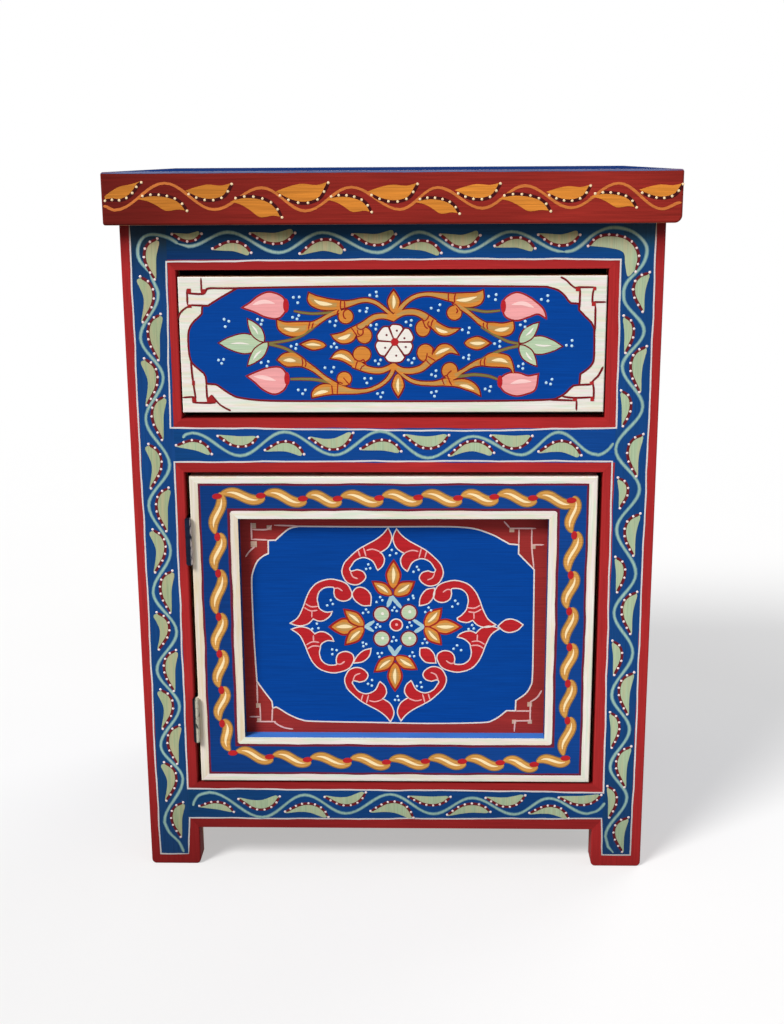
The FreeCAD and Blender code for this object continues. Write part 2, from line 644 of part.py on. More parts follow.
def make_door():
    """The door: two stiles, two rails with stub tenons, and a sunk panel held in a groove all round."""
    groove_y = (f"{PANEL_FRONT} - glue_gap", f"{PANEL_BACK} + glue_gap")
    whole_height = (f"{DOOR_LOW} - cut_overrun", f"{DOOR_HIGH} + cut_overrun")
    left_groove = (f"{PANEL_LEFT} - panel_groove", f"{PANEL_LEFT} + cut_overrun")
    right_groove = (f"{PANEL_RIGHT} - cut_overrun", f"{PANEL_RIGHT} + panel_groove")
    stiles = {
        "door_hinge_stile": ((DOOR_LEFT, PANEL_LEFT), left_groove, "front left"),
        "door_latch_stile": ((PANEL_RIGHT, DOOR_RIGHT), right_groove, "front right"),
    }
    for name, (x, groove_x, outer_edge) in stiles.items():
        board = plank(name + "_board", x, (FRONT, DOOR_BACK), (DOOR_LOW, DOOR_HIGH), "arris",
                      (outer_edge, "front top", "front bottom"))
        tools = [block(name + "_groove", groove_x, groove_y, whole_height)]
        if name == "door_hinge_stile":
            tools.append(door_leaf_holes)
        piece(cut(name, board, tools), name)
    upper_groove = (f"{PANEL_HIGH} - cut_overrun", f"{PANEL_HIGH} + panel_groove")
    lower_groove = (f"{PANEL_LOW} - panel_groove", f"{PANEL_LOW} + cut_overrun")
    rails = {
        "door_top_rail": ((PANEL_HIGH, DOOR_HIGH), upper_groove, "front top"),
        "door_bottom_rail": ((DOOR_LOW, PANEL_LOW), lower_groove, "front bottom"),
    }
    tongue_x = (f"{PANEL_LEFT} - panel_groove + glue_gap", f"{PANEL_RIGHT} + panel_groove - glue_gap")
    for name, (z, groove_z, outer_edge) in rails.items():
        board = plank(name + "_board", (PANEL_LEFT, PANEL_RIGHT), (FRONT, DOOR_BACK), z,
                      "arris", (outer_edge,))
        tongue = block(name + "_tongue", tongue_x, (PANEL_FRONT, PANEL_BACK), z)
        groove = block(name + "_groove", (DOOR_LEFT, DOOR_RIGHT), groove_y, groove_z)
        tools = [groove]
        if name == "door_top_rail":
            tools.append(strike_hole)
        piece(cut(name, joined(name + "_with_tongue", [board, tongue]), tools), name)
    panel_x = (f"{PANEL_LEFT} - panel_groove + panel_air", f"{PANEL_RIGHT} + panel_groove - panel_air")
    panel_z = (f"{PANEL_LOW} - panel_groove + panel_air", f"{PANEL_HIGH} + panel_groove - panel_air")
    piece(block("door_panel", panel_x, (PANEL_FRONT, PANEL_BACK), panel_z), "door_panel")


def make_hinge(which):
    """A butt hinge in the gap at the door's left edge: two leaves with knuckles turn by turn, and a pin."""
    low, high = about(HINGES[which], "hinge_length / 2")
    knuckle = f"((hinge_length - {KNUCKLES - 1} * knuckle_gap) / {KNUCKLES})"
    leaf_y = (HINGE_Y, f"{FRONT} + leaf_depth")
    leaves = {
        "frame_leaf": ((f"-{OPENING_HALF}", f"leaf_thickness - {OPENING_HALF}"), 0, frame_leaf_holes),
        "door_leaf": ((f"{DOOR_LEFT} - leaf_thickness", DOOR_LEFT), 1, door_leaf_holes),
    }
    for leaf, (leaf_x, first, holes) in leaves.items():
        name = f"{which}_hinge_{leaf}"
        solids = [block(name + "_plate", leaf_x, leaf_y, (low, high))]
        tools = [holes, rod(name + "_bore", (HINGE_X, HINGE_Y, f"{low} - cut_overrun"), "+z",
                            "pin_radius + pin_fit", "hinge_length + 2 * cut_overrun")]
        for number in range(KNUCKLES):
            start = f"{low} + {number} * ({knuckle} + knuckle_gap)"
            if number % 2 == first:
                solids.append(rod(f"{name}_knuckle_{number}", (HINGE_X, HINGE_Y, start), "+z",
                                  "knuckle_radius", knuckle))
            else:
                tools.append(rod(f"{name}_space_{number}", (HINGE_X, HINGE_Y, f"{start} - knuckle_gap"), "+z",
                                 "knuckle_radius + knuckle_gap", f"{knuckle} + 2 * knuckle_gap"))
        piece(cut(name, joined(name + "_blank", solids), tools), name)
    shank = rod(f"{which}_pin_shank", (HINGE_X, HINGE_Y, f"{low} - pin_head_height"), "+z",
                "pin_radius", "hinge_length + 2 * pin_head_height")
    foot = rod(f"{which}_pin_foot", (HINGE_X, HINGE_Y, f"{low} - pin_head_height"), "+z",
               "pin_head_radius", "pin_head_height")
    head = rod(f"{which}_pin_head", (HINGE_X, HINGE_Y, high), "+z", "pin_head_radius", "pin_head_height")
    piece(joined(f"{which}_hinge_pin", [shank, foot, head]), f"{which}_hinge_pin")


def make_catch():
    """A magnetic catch under the divider board and the steel plate it pulls on the door's back."""
    body = block("catch_blank", (CATCH_LEFT, CATCH_RIGHT), (CATCH_FRONT, CATCH_BACK),
                 (CATCH_LOW, DOOR_OPENING_TOP))
    magnet_x = about(CATCH_MIDDLE, "magnet_width / 2")
    magnet_z = about(CATCH_HEIGHT_MIDDLE, "magnet_height / 2")
    magnet_back = f"{CATCH_FRONT} + magnet_depth"
    pocket = block("catch_pocket", magnet_x, (f"{CATCH_FRONT} - cut_overrun", magnet_back), magnet_z)
    piece(cut("catch_body", body, [pocket, catch_holes]), "catch_body")
    piece(block("catch_magnet", magnet_x, (CATCH_FRONT, magnet_back), magnet_z), "catch_magnet")
    plate = block("strike_blank", about(CATCH_MIDDLE, "strike_width / 2"),
                  (DOOR_BACK, f"{DOOR_BACK} + strike_thickness"),
                  about(CATCH_HEIGHT_MIDDLE, "strike_height / 2"))
    piece(cut("strike_plate", plate, [strike_hole]), "strike_plate")


make_top()
for hand in ("left", "right"):
    make_side_plank(hand)
    make_stile(hand)
    make_runner(hand)
for rail_name in RAILS:
    make_rail(rail_name)
make_inner_boards()
make_drawer()
make_door()
for hinge in HINGES:
    make_hinge(hinge)
make_catch()

doc.recompute()
for thing in doc.Objects:
    if "Invalid" in thing.State or "Error" in thing.State:
        raise RuntimeError(f"{thing.Label} failed: {thing.State}")
for part in pieces:
    if part.Shape.isNull() or not part.Shape.isValid():
        raise RuntimeError(f"{part.Label} has no valid shape")

os.makedirs("parts", exist_ok=True)
for part in pieces:
    part.Shape.exportStep(f"parts/{part.Label}.step")
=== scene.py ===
"""Looks of the painted bedside cabinet: hand painted ornament, materials, light and camera."""
import math

import bpy
from mathutils import Matrix, Vector


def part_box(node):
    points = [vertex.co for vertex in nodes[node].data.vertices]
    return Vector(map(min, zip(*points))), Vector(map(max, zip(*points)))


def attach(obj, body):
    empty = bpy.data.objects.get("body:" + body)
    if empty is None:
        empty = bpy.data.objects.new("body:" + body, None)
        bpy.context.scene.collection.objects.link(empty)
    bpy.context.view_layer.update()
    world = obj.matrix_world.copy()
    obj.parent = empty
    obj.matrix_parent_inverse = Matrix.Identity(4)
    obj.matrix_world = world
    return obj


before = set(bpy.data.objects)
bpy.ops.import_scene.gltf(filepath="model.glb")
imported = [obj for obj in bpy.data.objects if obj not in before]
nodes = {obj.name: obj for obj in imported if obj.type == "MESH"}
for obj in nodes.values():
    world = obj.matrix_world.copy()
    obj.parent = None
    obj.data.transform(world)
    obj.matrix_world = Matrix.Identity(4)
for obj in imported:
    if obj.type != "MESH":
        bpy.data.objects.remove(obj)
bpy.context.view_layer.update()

# Sizes: lengths are in millimetres until a mesh is made
MM = 0.001
FRONT_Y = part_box("left_stile")[0].y / MM
PANEL_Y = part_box("door_panel")[0].y / MM
EDGE_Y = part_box("top_board")[0].y / MM
TOP_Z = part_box("top_board")[1].z / MM
UNDER_TOP_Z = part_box("top_board")[0].z / MM
TOP_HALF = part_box("top_board")[1].x / MM
TOP_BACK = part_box("top_board")[1].y / MM
FRONT_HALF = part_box("right_stile")[1].x / MM
SIDE_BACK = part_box("right_side_panel")[1].y / MM
DOOR_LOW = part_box("door_bottom_rail")[0].z / MM
DOOR_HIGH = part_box("door_top_rail")[1].z / MM
DOOR_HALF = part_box("door_latch_stile")[1].x / MM
PANEL_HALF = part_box("door_latch_stile")[0].x / MM
PANEL_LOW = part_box("door_bottom_rail")[1].z / MM
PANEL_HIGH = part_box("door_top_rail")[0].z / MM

# How far each coat of paint stands off the board
GROUND = 0.10
UNDER = 0.16
MOTIF = 0.22
OVER = 0.28
LAST = 0.34
DOT_HEIGHT = 0.55
# Coats of one motif lie a few hairs apart
HAIR = 0.01
# Strokes of one coat differ a hair in thickness, so that no two share a face where they cross
STROKE_STEP = 0.03
GOLDEN_SHARE = 0.618034
STROKES = {"count": 0}

# Flat faces that are painted: a point on the face and its two directions, whose cross product looks out
ACROSS = Vector((1, 0, 0))
DEEPER = Vector((0, 1, 0))
UPWARD = Vector((0, 0, 1))
FRONT = (Vector((0, FRONT_Y, 0)), ACROSS, UPWARD)
PANEL = (Vector((0, PANEL_Y, 0)), ACROSS, UPWARD)
EDGE = (Vector((0, EDGE_Y, 0)), ACROSS, UPWARD)
TOP = (Vector((0, 0, TOP_Z)), ACROSS, DEEPER)
RIGHT = (Vector((FRONT_HALF, 0, 0)), DEEPER, UPWARD)
LEFT = (Vector((-FRONT_HALF, 0, 0)), -DEEPER, UPWARD)


def linear(rgb):
    """The light value of a colour given as seen on a screen, 0 to 255."""
    shares = [part / 255 for part in rgb]
    return [s / 12.92 if s < 0.04045 else ((s + 0.055) / 1.055) ** 2.4 for s in shares]


def tinted(rgb, gain=1.0):
    """A colour made darker or lighter, with its alpha."""
    return [min(1.0, part * gain) for part in linear(rgb)] + [1.0]


# Shader building
def fill(tree, node, **settings):
    """Settings that name a socket go to it, as a link or a value; the others go to the node."""
    for name, value in settings.items():
        socket = node.inputs.get(name.replace("_", " "))
        if isinstance(value, bpy.types.NodeSocket):
            tree.links.new(value, socket)
        elif socket is not None:
            socket.default_value = value
        else:
            setattr(node, name, value)


def add(tree, kind, **settings):
    """A new shader node with its settings."""
    node = tree.nodes.new(kind)
    fill(tree, node, **settings)
    return node


def own_place(tree):
    """The place on the object itself."""
    return add(tree, "ShaderNodeTexCoord").outputs["Object"]


def remapped(tree, value, **ends):
    """A value spread from one range over another; a range that isn't given is nought to one."""
    return add(tree, "ShaderNodeMapRange", Value=value, **ends).outputs["Result"]


def scaled(tree, value, low, high):
    """A nought to one value spread over another range."""
    return remapped(tree, value, To_Min=low, To_Max=high)


def noise(tree, along, across, lengthwise, detail, low, high):
    """A noise squeezed to run along one axis, whose middle part is spread over nought to one."""
    scale = [across, across, across]
    scale["XYZ".index(along)] = lengthwise
    squeezed = add(tree, "ShaderNodeMapping", Vector=own_place(tree), Scale=scale).outputs["Vector"]
    made = add(tree, "ShaderNodeTexNoise", Vector=squeezed, Scale=1.0, Detail=detail)
    return remapped(tree, made.outputs["Fac"], From_Min=low, From_Max=high)


def ranged(tree, axis, low, high):
    """Zero at one place along an axis and one at another, both in metres."""
    parts = add(tree, "ShaderNodeSeparateXYZ", Vector=own_place(tree))
    return remapped(tree, parts.outputs[axis], From_Min=low, From_Max=high)


def mixed(tree, factor, first, second, **settings):
    """A colour between two colours; each is a socket or a list of four numbers."""
    made = add(tree, "ShaderNodeMix", data_type="RGBA", **settings)
    for place, value in ((0, factor), (6, first), (7, second)):
        if isinstance(value, bpy.types.NodeSocket):
            tree.links.new(value, made.inputs[place])
        else:
            made.inputs[place].default_value = value
    return made.outputs[2]


def reckoned(tree, operation, first, second):
    """Two values joined by an operation."""
    made = add(tree, "ShaderNodeMath", operation=operation)
    tree.links.new(first, made.inputs[0])
    tree.links.new(second, made.inputs[1])
    return made.outputs[0]


def relief(tree, height, strength, distance):
    """The small relief that a height gives."""
    return add(tree, "ShaderNodeBump", Strength=strength, Distance=distance, Height=height).outputs["Normal"]


def graded(tree, colour, axis, stops):
    """A colour multiplied along an axis; a stop is a place in metres and its gain, or three gains."""
    first = stops[0][0]
    last = stops[-1][0]
    ramp = add(tree, "ShaderNodeValToRGB", Fac=ranged(tree, axis, first, last))
    marks = ramp.color_ramp.elements
    for at, gain in stops[1:-1]:
        marks.new((at - first) / (last - first))
    for mark, (at, gain) in zip(marks, stops):
        gains = gain if isinstance(gain, tuple) else (gain, gain, gain)
        mark.color = (*gains, 1.0)
    return mixed(tree, 1.0, colour, ramp.outputs["Color"], blend_type="MULTIPLY")


def new_material(name):
    """A material with its nodes and its surface shader."""
    material = bpy.data.materials.new(name)
    material.use_nodes = True
    tree = material.node_tree
    return material, tree, tree.nodes["Principled BSDF"]


# Painted shade: the paint is darker towards the floor, and close under the top board a painted shadow of its
# overhang darkens it
LOW_AND_UNDER_TOP_SHADE = ("Z", ((0.0, 0.56), (0.035, 0.69), (0.07, 0.86), (0.10, 1.0), (0.532, 1.0),
               (0.541, (0.92, 0.80, 0.80)), (0.548, (0.68, 0.56, 0.52)), (0.5588, (0.42, 0.34, 0.22)),
               (0.5592, 1.0), (0.6, 1.0)))
# The blues' painted shade: darker and greyer towards the floor, a little lighter at middle height, and a dark
# grey painted shadow close under the top board
BLUE_LOW_AND_UNDER_TOP_SHADE = ("Z", ((0.0, (1.0, 0.58, 0.44)), (0.035, (1.0, 0.68, 0.53)), (0.077, (1.0, 0.84, 0.64)),
                    (0.125, (1.0, 0.93, 0.80)), (0.17, (1.0, 1.0, 0.90)), (0.40, (1.0, 1.06, 1.0)),
                    (0.50, (1.0, 1.0, 0.90)), (0.528, (1.0, 0.98, 0.84)), (0.536, (1.0, 0.95, 0.74)),
                    (0.543, (1.1, 0.84, 0.46)), (0.549, (1.4, 0.66, 0.32)), (0.5588, (1.6, 0.48, 0.22)),
                    (0.5592, 1.0), (0.6, 1.0)))
# The reds' painted shade: darker towards the floor, more so on the left than on the right, and a painted
# shadow close under the top board
RED_LOW_AND_UNDER_TOP_SHADE = ("Z", ((0.0, 0.42), (0.045, 0.58), (0.10, 0.80), (0.17, 1.0), (0.524, 1.0), (0.543, 0.58),
                   (0.5588, 0.26), (0.5592, 1.0), (0.6, 1.0)))
RIGHT_RED_LOW_AND_UNDER_TOP_SHADE = ("Z", ((0.0, 0.62), (0.035, 0.80), (0.08, 0.90), (0.16, 1.0), (0.524, 1.0), (0.543, 0.58),
                         (0.5588, 0.26), (0.5592, 1.0), (0.6, 1.0)))
# A painted shadow in the top left corner, under the top board's overhang
LEFT_TOP_CORNER_SHADOW = ("Z", ((0.50, 1.0), (0.525, (1.0, 0.74, 0.68)), (0.545, (1.0, 0.54, 0.46)), (0.5588, 0.6)))
# Painted shading that changes from left to right: darker towards the left, and on the top board's edge
# lighter right of the middle
EDGE_SHADING_LEFT_TO_RIGHT = ("X", ((-0.228, 0.50), (-0.20, 0.56), (-0.14, 0.78), (-0.08, 0.93), (-0.02, 1.03), (0.03, 0.98),
                    (0.09, 1.06), (0.15, 1.22), (0.20, 1.10), (0.228, 0.96)))
RAIL_SHADING_LEFT_TO_RIGHT = ("X", ((-0.20, 0.76), (-0.10, 0.96), (0.04, 1.10), (0.20, 1.06)))
TOP_BAND_SHADING_LEFT_TO_RIGHT = ("X", ((-0.19, 0.54), (-0.10, 0.64), (-0.02, 0.86), (0.04, 1.0), (0.19, 1.0)))
BAND_SHADING_LEFT_TO_RIGHT = ("X", ((-0.19, (1.0, 0.90, 0.68)), (-0.14, (1.0, 0.96, 0.86)), (-0.09, 1.0), (0.19, 1.0)))
EDGE_LEAF_SHADING_LEFT_TO_RIGHT = ("X", ((-0.228, 0.76), (-0.12, 0.86), (-0.04, 0.98), (0.228, 1.04)))
DOOR_SHADING_LEFT_TO_RIGHT = ("X", ((-0.17, 0.78), (-0.11, 0.86), (0.0, 1.0), (0.17, 1.04)))


def paint(name, rgb, along="X", streak=0.12, worn=(LOW_AND_UNDER_TOP_SHADE,), tints=(), shine=0.06):
    """Hand brushed paint: streaks along the brush, cloudy thick and thin places, tints, and painted shade and
    light given by gradings along an axis.
    """
    material, tree, shader = new_material(name)
    streaks = noise(tree, along, 900, 26, 4.0, 0.32, 0.68)
    clouds = noise(tree, along, 34, 12, 3.0, 0.30, 0.70)
    base = mixed(tree, streaks, tinted(rgb, 1 - streak), tinted(rgb, 1 + streak))
    colour = mixed(tree, scaled(tree, clouds, 0.0, 0.45), base, tinted(rgb, 1 - 1.3 * streak))
    for count, (tint, share) in enumerate(tints):
        patches = noise(tree, along, 340 + 130 * count, 22 + 9 * count, 4.0, 0.46, 0.62)
        colour = mixed(tree, scaled(tree, patches, 0.0, share), colour, tinted(tint))
    # Painted shade and light: each grading darkens or lightens the colour along an axis
    for grading in worn:
        colour = graded(tree, colour, *grading)
    fill(tree, shader, Base_Color=colour, Roughness=scaled(tree, clouds, 0.52, 0.66),
         Specular_IOR_Level=shine, Normal=relief(tree, streaks, 0.35, 0.00018))
    return material


def wood(name, along, light=(205, 168, 116), dark=(166, 120, 72)):
    """Planed softwood: broad growth bands, fine fibres and a dull surface."""
    material, tree, shader = new_material(name)
    bands = noise(tree, along, 46, 2.2, 2.5, 0.35, 0.62)
    fibres = noise(tree, along, 1500, 22, 3.0, 0.30, 0.70)
    base = mixed(tree, bands, tinted(light), tinted(dark))
    fine = mixed(tree, scaled(tree, fibres, 0.0, 0.35), base, tinted(dark, 0.8))
    fill(tree, shader, Base_Color=fine, Roughness=scaled(tree, fibres, 0.55, 0.72),
         Normal=relief(tree, fibres, 0.4, 0.0002))
    return material


def fibre_board(name, rgb):
    """Thin pressed board: short mottled fibres."""
    material, tree, shader = new_material(name)
    specks = noise(tree, "X", 700, 420, 5.0, 0.35, 0.65)
    clouds = noise(tree, "Z", 30, 22, 2.0, 0.30, 0.70)
    base = mixed(tree, specks, tinted(rgb, 0.72), tinted(rgb, 1.18))
    cloudy = mixed(tree, scaled(tree, clouds, 0.0, 0.4), base, tinted(rgb, 0.8))
    fill(tree, shader, Base_Color=cloudy, Roughness=scaled(tree, specks, 0.5, 0.7),
         Normal=relief(tree, specks, 0.3, 0.0002))
    return material


def metal(name, rgb, rough, smeared=None, reach=(0, 0)):
    """Rolled steel with a dull film; the door's paint is smeared on it beyond a place across."""
    material, tree, shader = new_material(name)
    film = noise(tree, "Z", 300, 120, 4.0, 0.30, 0.70)
    base = mixed(tree, film, tinted(rgb, 0.7), tinted(rgb, 1.25))
    metallic = 0.9
    if smeared:
        ragged = noise(tree, "Z", 420, 130, 3.0, 0.36, 0.46)
        mask = reckoned(tree, "MULTIPLY", ranged(tree, "X", *reach), ragged)
        base = mixed(tree, mask, base, tinted(smeared))
        metallic = scaled(tree, mask, 0.85, 0.0)
    fill(tree, shader, Base_Color=base, Metallic=metallic,
         Roughness=scaled(tree, film, rough - 0.08, rough + 0.12), Normal=relief(tree, film, 0.3, 0.0001))
    return material


def plastic(name, rgb):
    """Moulded plastic with a fine grain."""
    material, tree, shader = new_material(name)
    grain = noise(tree, "X", 1100, 1100, 2.0, 0.30, 0.70)
    fill(tree, shader, Base_Color=mixed(tree, grain, tinted(rgb, 0.93), tinted(rgb, 1.05)),
         Roughness=scaled(tree, grain, 0.40, 0.52), Normal=relief(tree, grain, 0.2, 0.0001))
    return material


# The paints and plain stuffs of the cabinet
RED = (166, 41, 42)
CREAM_TINTS = (((226, 210, 176), 0.55), ((204, 220, 196), 0.65), ((238, 214, 218), 0.50))
HINGE_TINTS = (((218, 198, 158), 0.80), ((214, 204, 180), 0.75), ((230, 214, 212), 0.45))
# The frame's reds and blues, the edge and the door's blue carry painted shade and light in their gradings:
# darker towards the floor, towards the left and under the top board
red_left = paint("red_left", RED, "Z", 0.14, (RED_LOW_AND_UNDER_TOP_SHADE,))
red_right = paint("red_right", RED, "Z", 0.14, (RIGHT_RED_LOW_AND_UNDER_TOP_SHADE,))
red_across = paint("red_across", RED, "X", 0.14, (RED_LOW_AND_UNDER_TOP_SHADE, RAIL_SHADING_LEFT_TO_RIGHT))
panel_red = paint("panel_red", (150, 46, 44), "X", 0.16)
edge_red = paint("edge_red", (138, 39, 32), "X", 0.20, (EDGE_SHADING_LEFT_TO_RIGHT,))
# Grey blue: a painted reflection of light along the top's front arris
arris = paint("worn_arris", (104, 114, 154), "X", 0.2)
top_blue = paint("top_blue", (28, 52, 108), "X", 0.16, shine=0.0)
blue_left = paint("blue_left_upright", (20, 65, 127), "Z", 0.16, (BLUE_LOW_AND_UNDER_TOP_SHADE, LEFT_TOP_CORNER_SHADOW))
blue_up = paint("blue_upright", (20, 65, 127), "Z", 0.16, (BLUE_LOW_AND_UNDER_TOP_SHADE,))
blue_top = paint("blue_top_band", (14, 66, 142), "X", 0.16, (BLUE_LOW_AND_UNDER_TOP_SHADE, TOP_BAND_SHADING_LEFT_TO_RIGHT))
blue_across = paint("blue_across", (14, 66, 142), "X", 0.16, (BLUE_LOW_AND_UNDER_TOP_SHADE, BAND_SHADING_LEFT_TO_RIGHT))
blue_door = paint("blue_door", (16, 63, 134), "X", 0.16, (LOW_AND_UNDER_TOP_SHADE, DOOR_SHADING_LEFT_TO_RIGHT))
blue_field = paint("blue_field", (2, 65, 149), "X", 0.14)
# A lighter copy of the blue: painted light on the recess's level faces, as if lit from above
lit_ledge_blue = paint("blue_ledge_painted_light", (60, 117, 202), "X", 0.16)
cream_up = paint("cream_upright", (235, 232, 221), "Z", 0.08, tints=CREAM_TINTS)
# A yellowed cream for the hinge side, also darker than the latch side's: the yellow is a tint, the darkness
# painted shade
shaded_yellowed_cream = paint("cream_hinge_side", (223, 216, 199), "Z", 0.09, tints=HINGE_TINTS)
cream_across = paint("cream_across", (230, 230, 221), "X", 0.08, tints=CREAM_TINTS)
white_line = paint("white_line", (212, 208, 208), "X", 0.10)
dark_red = paint("dark_red", (118, 26, 32), "X", 0.12)
rim_brown = paint("rim_brown", (104, 30, 38), "X", 0.12)
halo_red = paint("halo_red", (154, 36, 34), "X", 0.14)
scroll_red = paint("scroll_red", (182, 36, 42), "X", 0.14)
leaf_sage = paint("leaf_sage", (160, 174, 136), "Z", 0.16, tints=(((184, 172, 134), 0.6),))
leaf_light = paint("leaf_light", (168, 188, 154), "Z", 0.16, tints=(((186, 184, 146), 0.5),))
pale_sage = paint("pale_sage", (179, 202, 169), "X", 0.12, tints=(((202, 210, 174), 0.5),))
stem_aqua = paint("stem_aqua", (92, 136, 152), "Z", 0.14)
stem_light = paint("stem_light", (150, 182, 172), "Z", 0.16)
dot_pink = paint("dot_pink", (236, 216, 214), "X", 0.06)
dot_cream = paint("dot_cream", (238, 212, 170), "X", 0.06)
dot_blue = paint("dot_blue", (186, 220, 238), "X", 0.06)
orange = paint("orange", (214, 136, 58), "X", 0.18)
ochre = paint("ochre", (192, 148, 84), "X", 0.16)
# Its grading is painted shading, darker towards the left
edge_leaf_orange = paint("edge_leaf_orange", (212, 132, 50), "X", 0.20, (EDGE_LEAF_SHADING_LEFT_TO_RIGHT,))
edge_orange = paint("edge_orange", (200, 114, 56), "X", 0.16)
maroon = paint("maroon", (62, 16, 20), "X", 0.12)
highlight = paint("highlight", (248, 226, 178), "X", 0.06)
olive = paint("olive", (128, 116, 66), "X", 0.14)
pink = paint("pink", (236, 162, 162), "X", 0.12)
pale_pink = paint("pale_pink", (248, 204, 200), "X", 0.08)
petal_white = paint("petal_white", (238, 232, 224), "X", 0.06)
outline_white = paint("outline_white", (226, 216, 210), "X", 0.10)
scroll_line = paint("scroll_line", (232, 168, 166), "X", 0.10)
rope_ochre = paint("rope_ochre", (208, 150, 76), "X", 0.20)
border_line = paint("border_line", (108, 32, 52), "X", 0.14)
rope_rim = paint("rope_rim", (140, 108, 60), "X", 0.16)
knot_line = paint("knot_line", (222, 178, 174), "X", 0.10)
knot_patch = paint("knot_patch", (196, 164, 144), "X", 0.10)
chevron_blue = paint("chevron_blue", (164, 198, 208), "X", 0.12)
wood_up = wood("pine_upright", "Z")
wood_across = wood("pine_across", "X")
wood_deep = wood("pine_deep", "Y")
board = fibre_board("pressed_board", (138, 98, 62))
hinge_upper = metal("hinge_upper_steel", (20, 30, 52), 0.5, (214, 204, 200), (-0.1699, -0.1693))
hinge_lower = metal("hinge_lower_steel", (18, 22, 34), 0.5, (208, 204, 182), (-0.1718, -0.1706))
steel = metal("zinc_steel", (178, 180, 184), 0.34)
magnet = metal("magnet", (70, 70, 74), 0.4)
catch_plastic = plastic("catch_plastic", (120, 84, 56))


# Materials of the boards: the painted faces are told by their place and by the way they look. Three sizes
# bound the paint: how far back it goes from the front, and how high it goes on the feet and their cut-outs
FRONT_DEPTH = 12
FOOT_HIGH = 50
CUT_OUT_HIGH = 36


def coat(name, finish, faces=()):
    """Gives a board its finish, and another finish to the faces that a rule picks."""
    mesh = nodes[name].data
    mesh.materials.clear()
    mesh.materials.append(finish)
    for material, rule in faces:
        mesh.materials.append(material)
        slot = len(mesh.materials) - 1
        for face in mesh.polygons:
            if rule(face.normal, face.center / MM):
                face.material_index = slot


def is_level(normal):
    """Whether a face with this normal lies level."""
    return abs(normal.z) > 0.9


def coat_boards():
    """The carcass, the drawer and the door: painted where they are seen, bare pine elsewhere."""
    for side, sign, red in (("left", -1, red_left), ("right", 1, red_right)):
        outside = (red, lambda n, c, s=sign: n.x * s > 0.5 and abs(c.x) > FRONT_HALF - 1)
        seen = (red, lambda n, c: c.y < FRONT_Y + FRONT_DEPTH or is_level(n) and c.z < FOOT_HIGH)
        foot = (red, lambda n, c: abs(n.y) + abs(n.z) > 0.5 and c.z < CUT_OUT_HIGH)
        coat(side + "_stile", wood_up, [seen, outside])
        coat(side + "_side_panel", wood_up, [outside, foot])
        for part in ("top_cleat", "floor_cleat", "divider_cleat", "drawer_guide", "drawer_runner"):
            coat(side + "_" + part, wood_deep)
        coat("drawer_" + side + "_side", wood_deep)
    for rail in ("top_rail", "middle_rail", "bottom_rail"):
        coat(rail, wood_across, [(red_across, lambda n, c: c.y < FRONT_Y + 1 or is_level(n))])
    upper = (top_blue, lambda n, c: n.z > 0.9)
    coat("top_board", edge_red, [upper, (wood_across, lambda n, c: n.z < -0.9)])
    coat("drawer_front", wood_across, [(cream_across, lambda n, c: c.y < FRONT_Y + 3)])
    # The hinge stile takes the yellowed cream, darker as painted shade
    for stile, cream in (("door_hinge_stile", shaded_yellowed_cream), ("door_latch_stile", cream_up)):
        inner = (blue_up, lambda n, c: abs(c.x) < PANEL_HALF + 1 and c.y < PANEL_Y)
        coat(stile, wood_up, [(cream, lambda n, c: c.y < FRONT_Y + FRONT_DEPTH), inner])
    for rail in ("door_top_rail", "door_bottom_rail"):
        # The recess's level faces take the lighter blue, painted light
        inner = (lit_ledge_blue,
                 lambda n, c: is_level(n) and PANEL_LOW - 1 < c.z < PANEL_HIGH + 1 and c.y < PANEL_Y)
        coat(rail, wood_across, [(cream_across, lambda n, c: c.y < FRONT_Y + FRONT_DEPTH), inner])
    coat("door_panel", wood_up, [(panel_red, lambda n, c: n.y < -0.5)])
    for name in ("back_panel", "drawer_bottom"):
        coat(name, board)
    for name in ("bottom_board", "divider_board", "drawer_back"):
        coat(name, wood_across)


def coat_fittings():
    """Hinges, catch, screws and nails."""
    for name, finish in (("upper", hinge_upper), ("lower", hinge_lower)):
        for part in ("frame_leaf", "door_leaf", "pin"):
            coat(name + "_hinge_" + part, finish)
    coat("catch_body", catch_plastic)
    coat("catch_magnet", magnet)
    for name in sorted(nodes):
        if "screw" in name or "nails" in name or name == "strike_plate":
            coat(name, steel)


# Lines and outlines on a face, in millimetres
def smooth(points, steps=5):
    """A soft line through the points."""
    made = []
    count = len(points)
    for i in range(count - 1):
        before = points[max(i - 1, 0)]
        start = points[i]
        end = points[i + 1]
        after = points[min(i + 2, count - 1)]
        for k in range(steps):
            t = k / steps
            made.append(tuple(
                0.5 * (2 * b + (c - a) * t + (2 * a - 5 * b + 4 * c - d) * t * t
                       + (3 * b - a - 3 * c + d) * t ** 3)
                for a, b, c, d in zip(before, start, end, after)))
    made.append(tuple(points[-1]))
    return made


def outline(*stretches):
    """A closed outline of soft stretches: each starts at the corner where the one before ended."""
    made = []
    corner = stretches[-1][-1]
    for stretch in stretches:
        made.extend(smooth([corner, *stretch])[:-1])
        corner = stretch[-1]
    return made


def area(loop):
    """Twice the signed area of an outline."""
    return sum(a[0] * b[1] - b[0] * a[1] for a, b in zip(loop, loop[1:] + loop[:1]))


def edge_normal(a, b):
    """The unit vector to the left of the way from a to b."""
    du = b[0] - a[0]
    dv = b[1] - a[1]
    size = math.hypot(du, dv) or 1.0
    return (-dv / size, du / size)


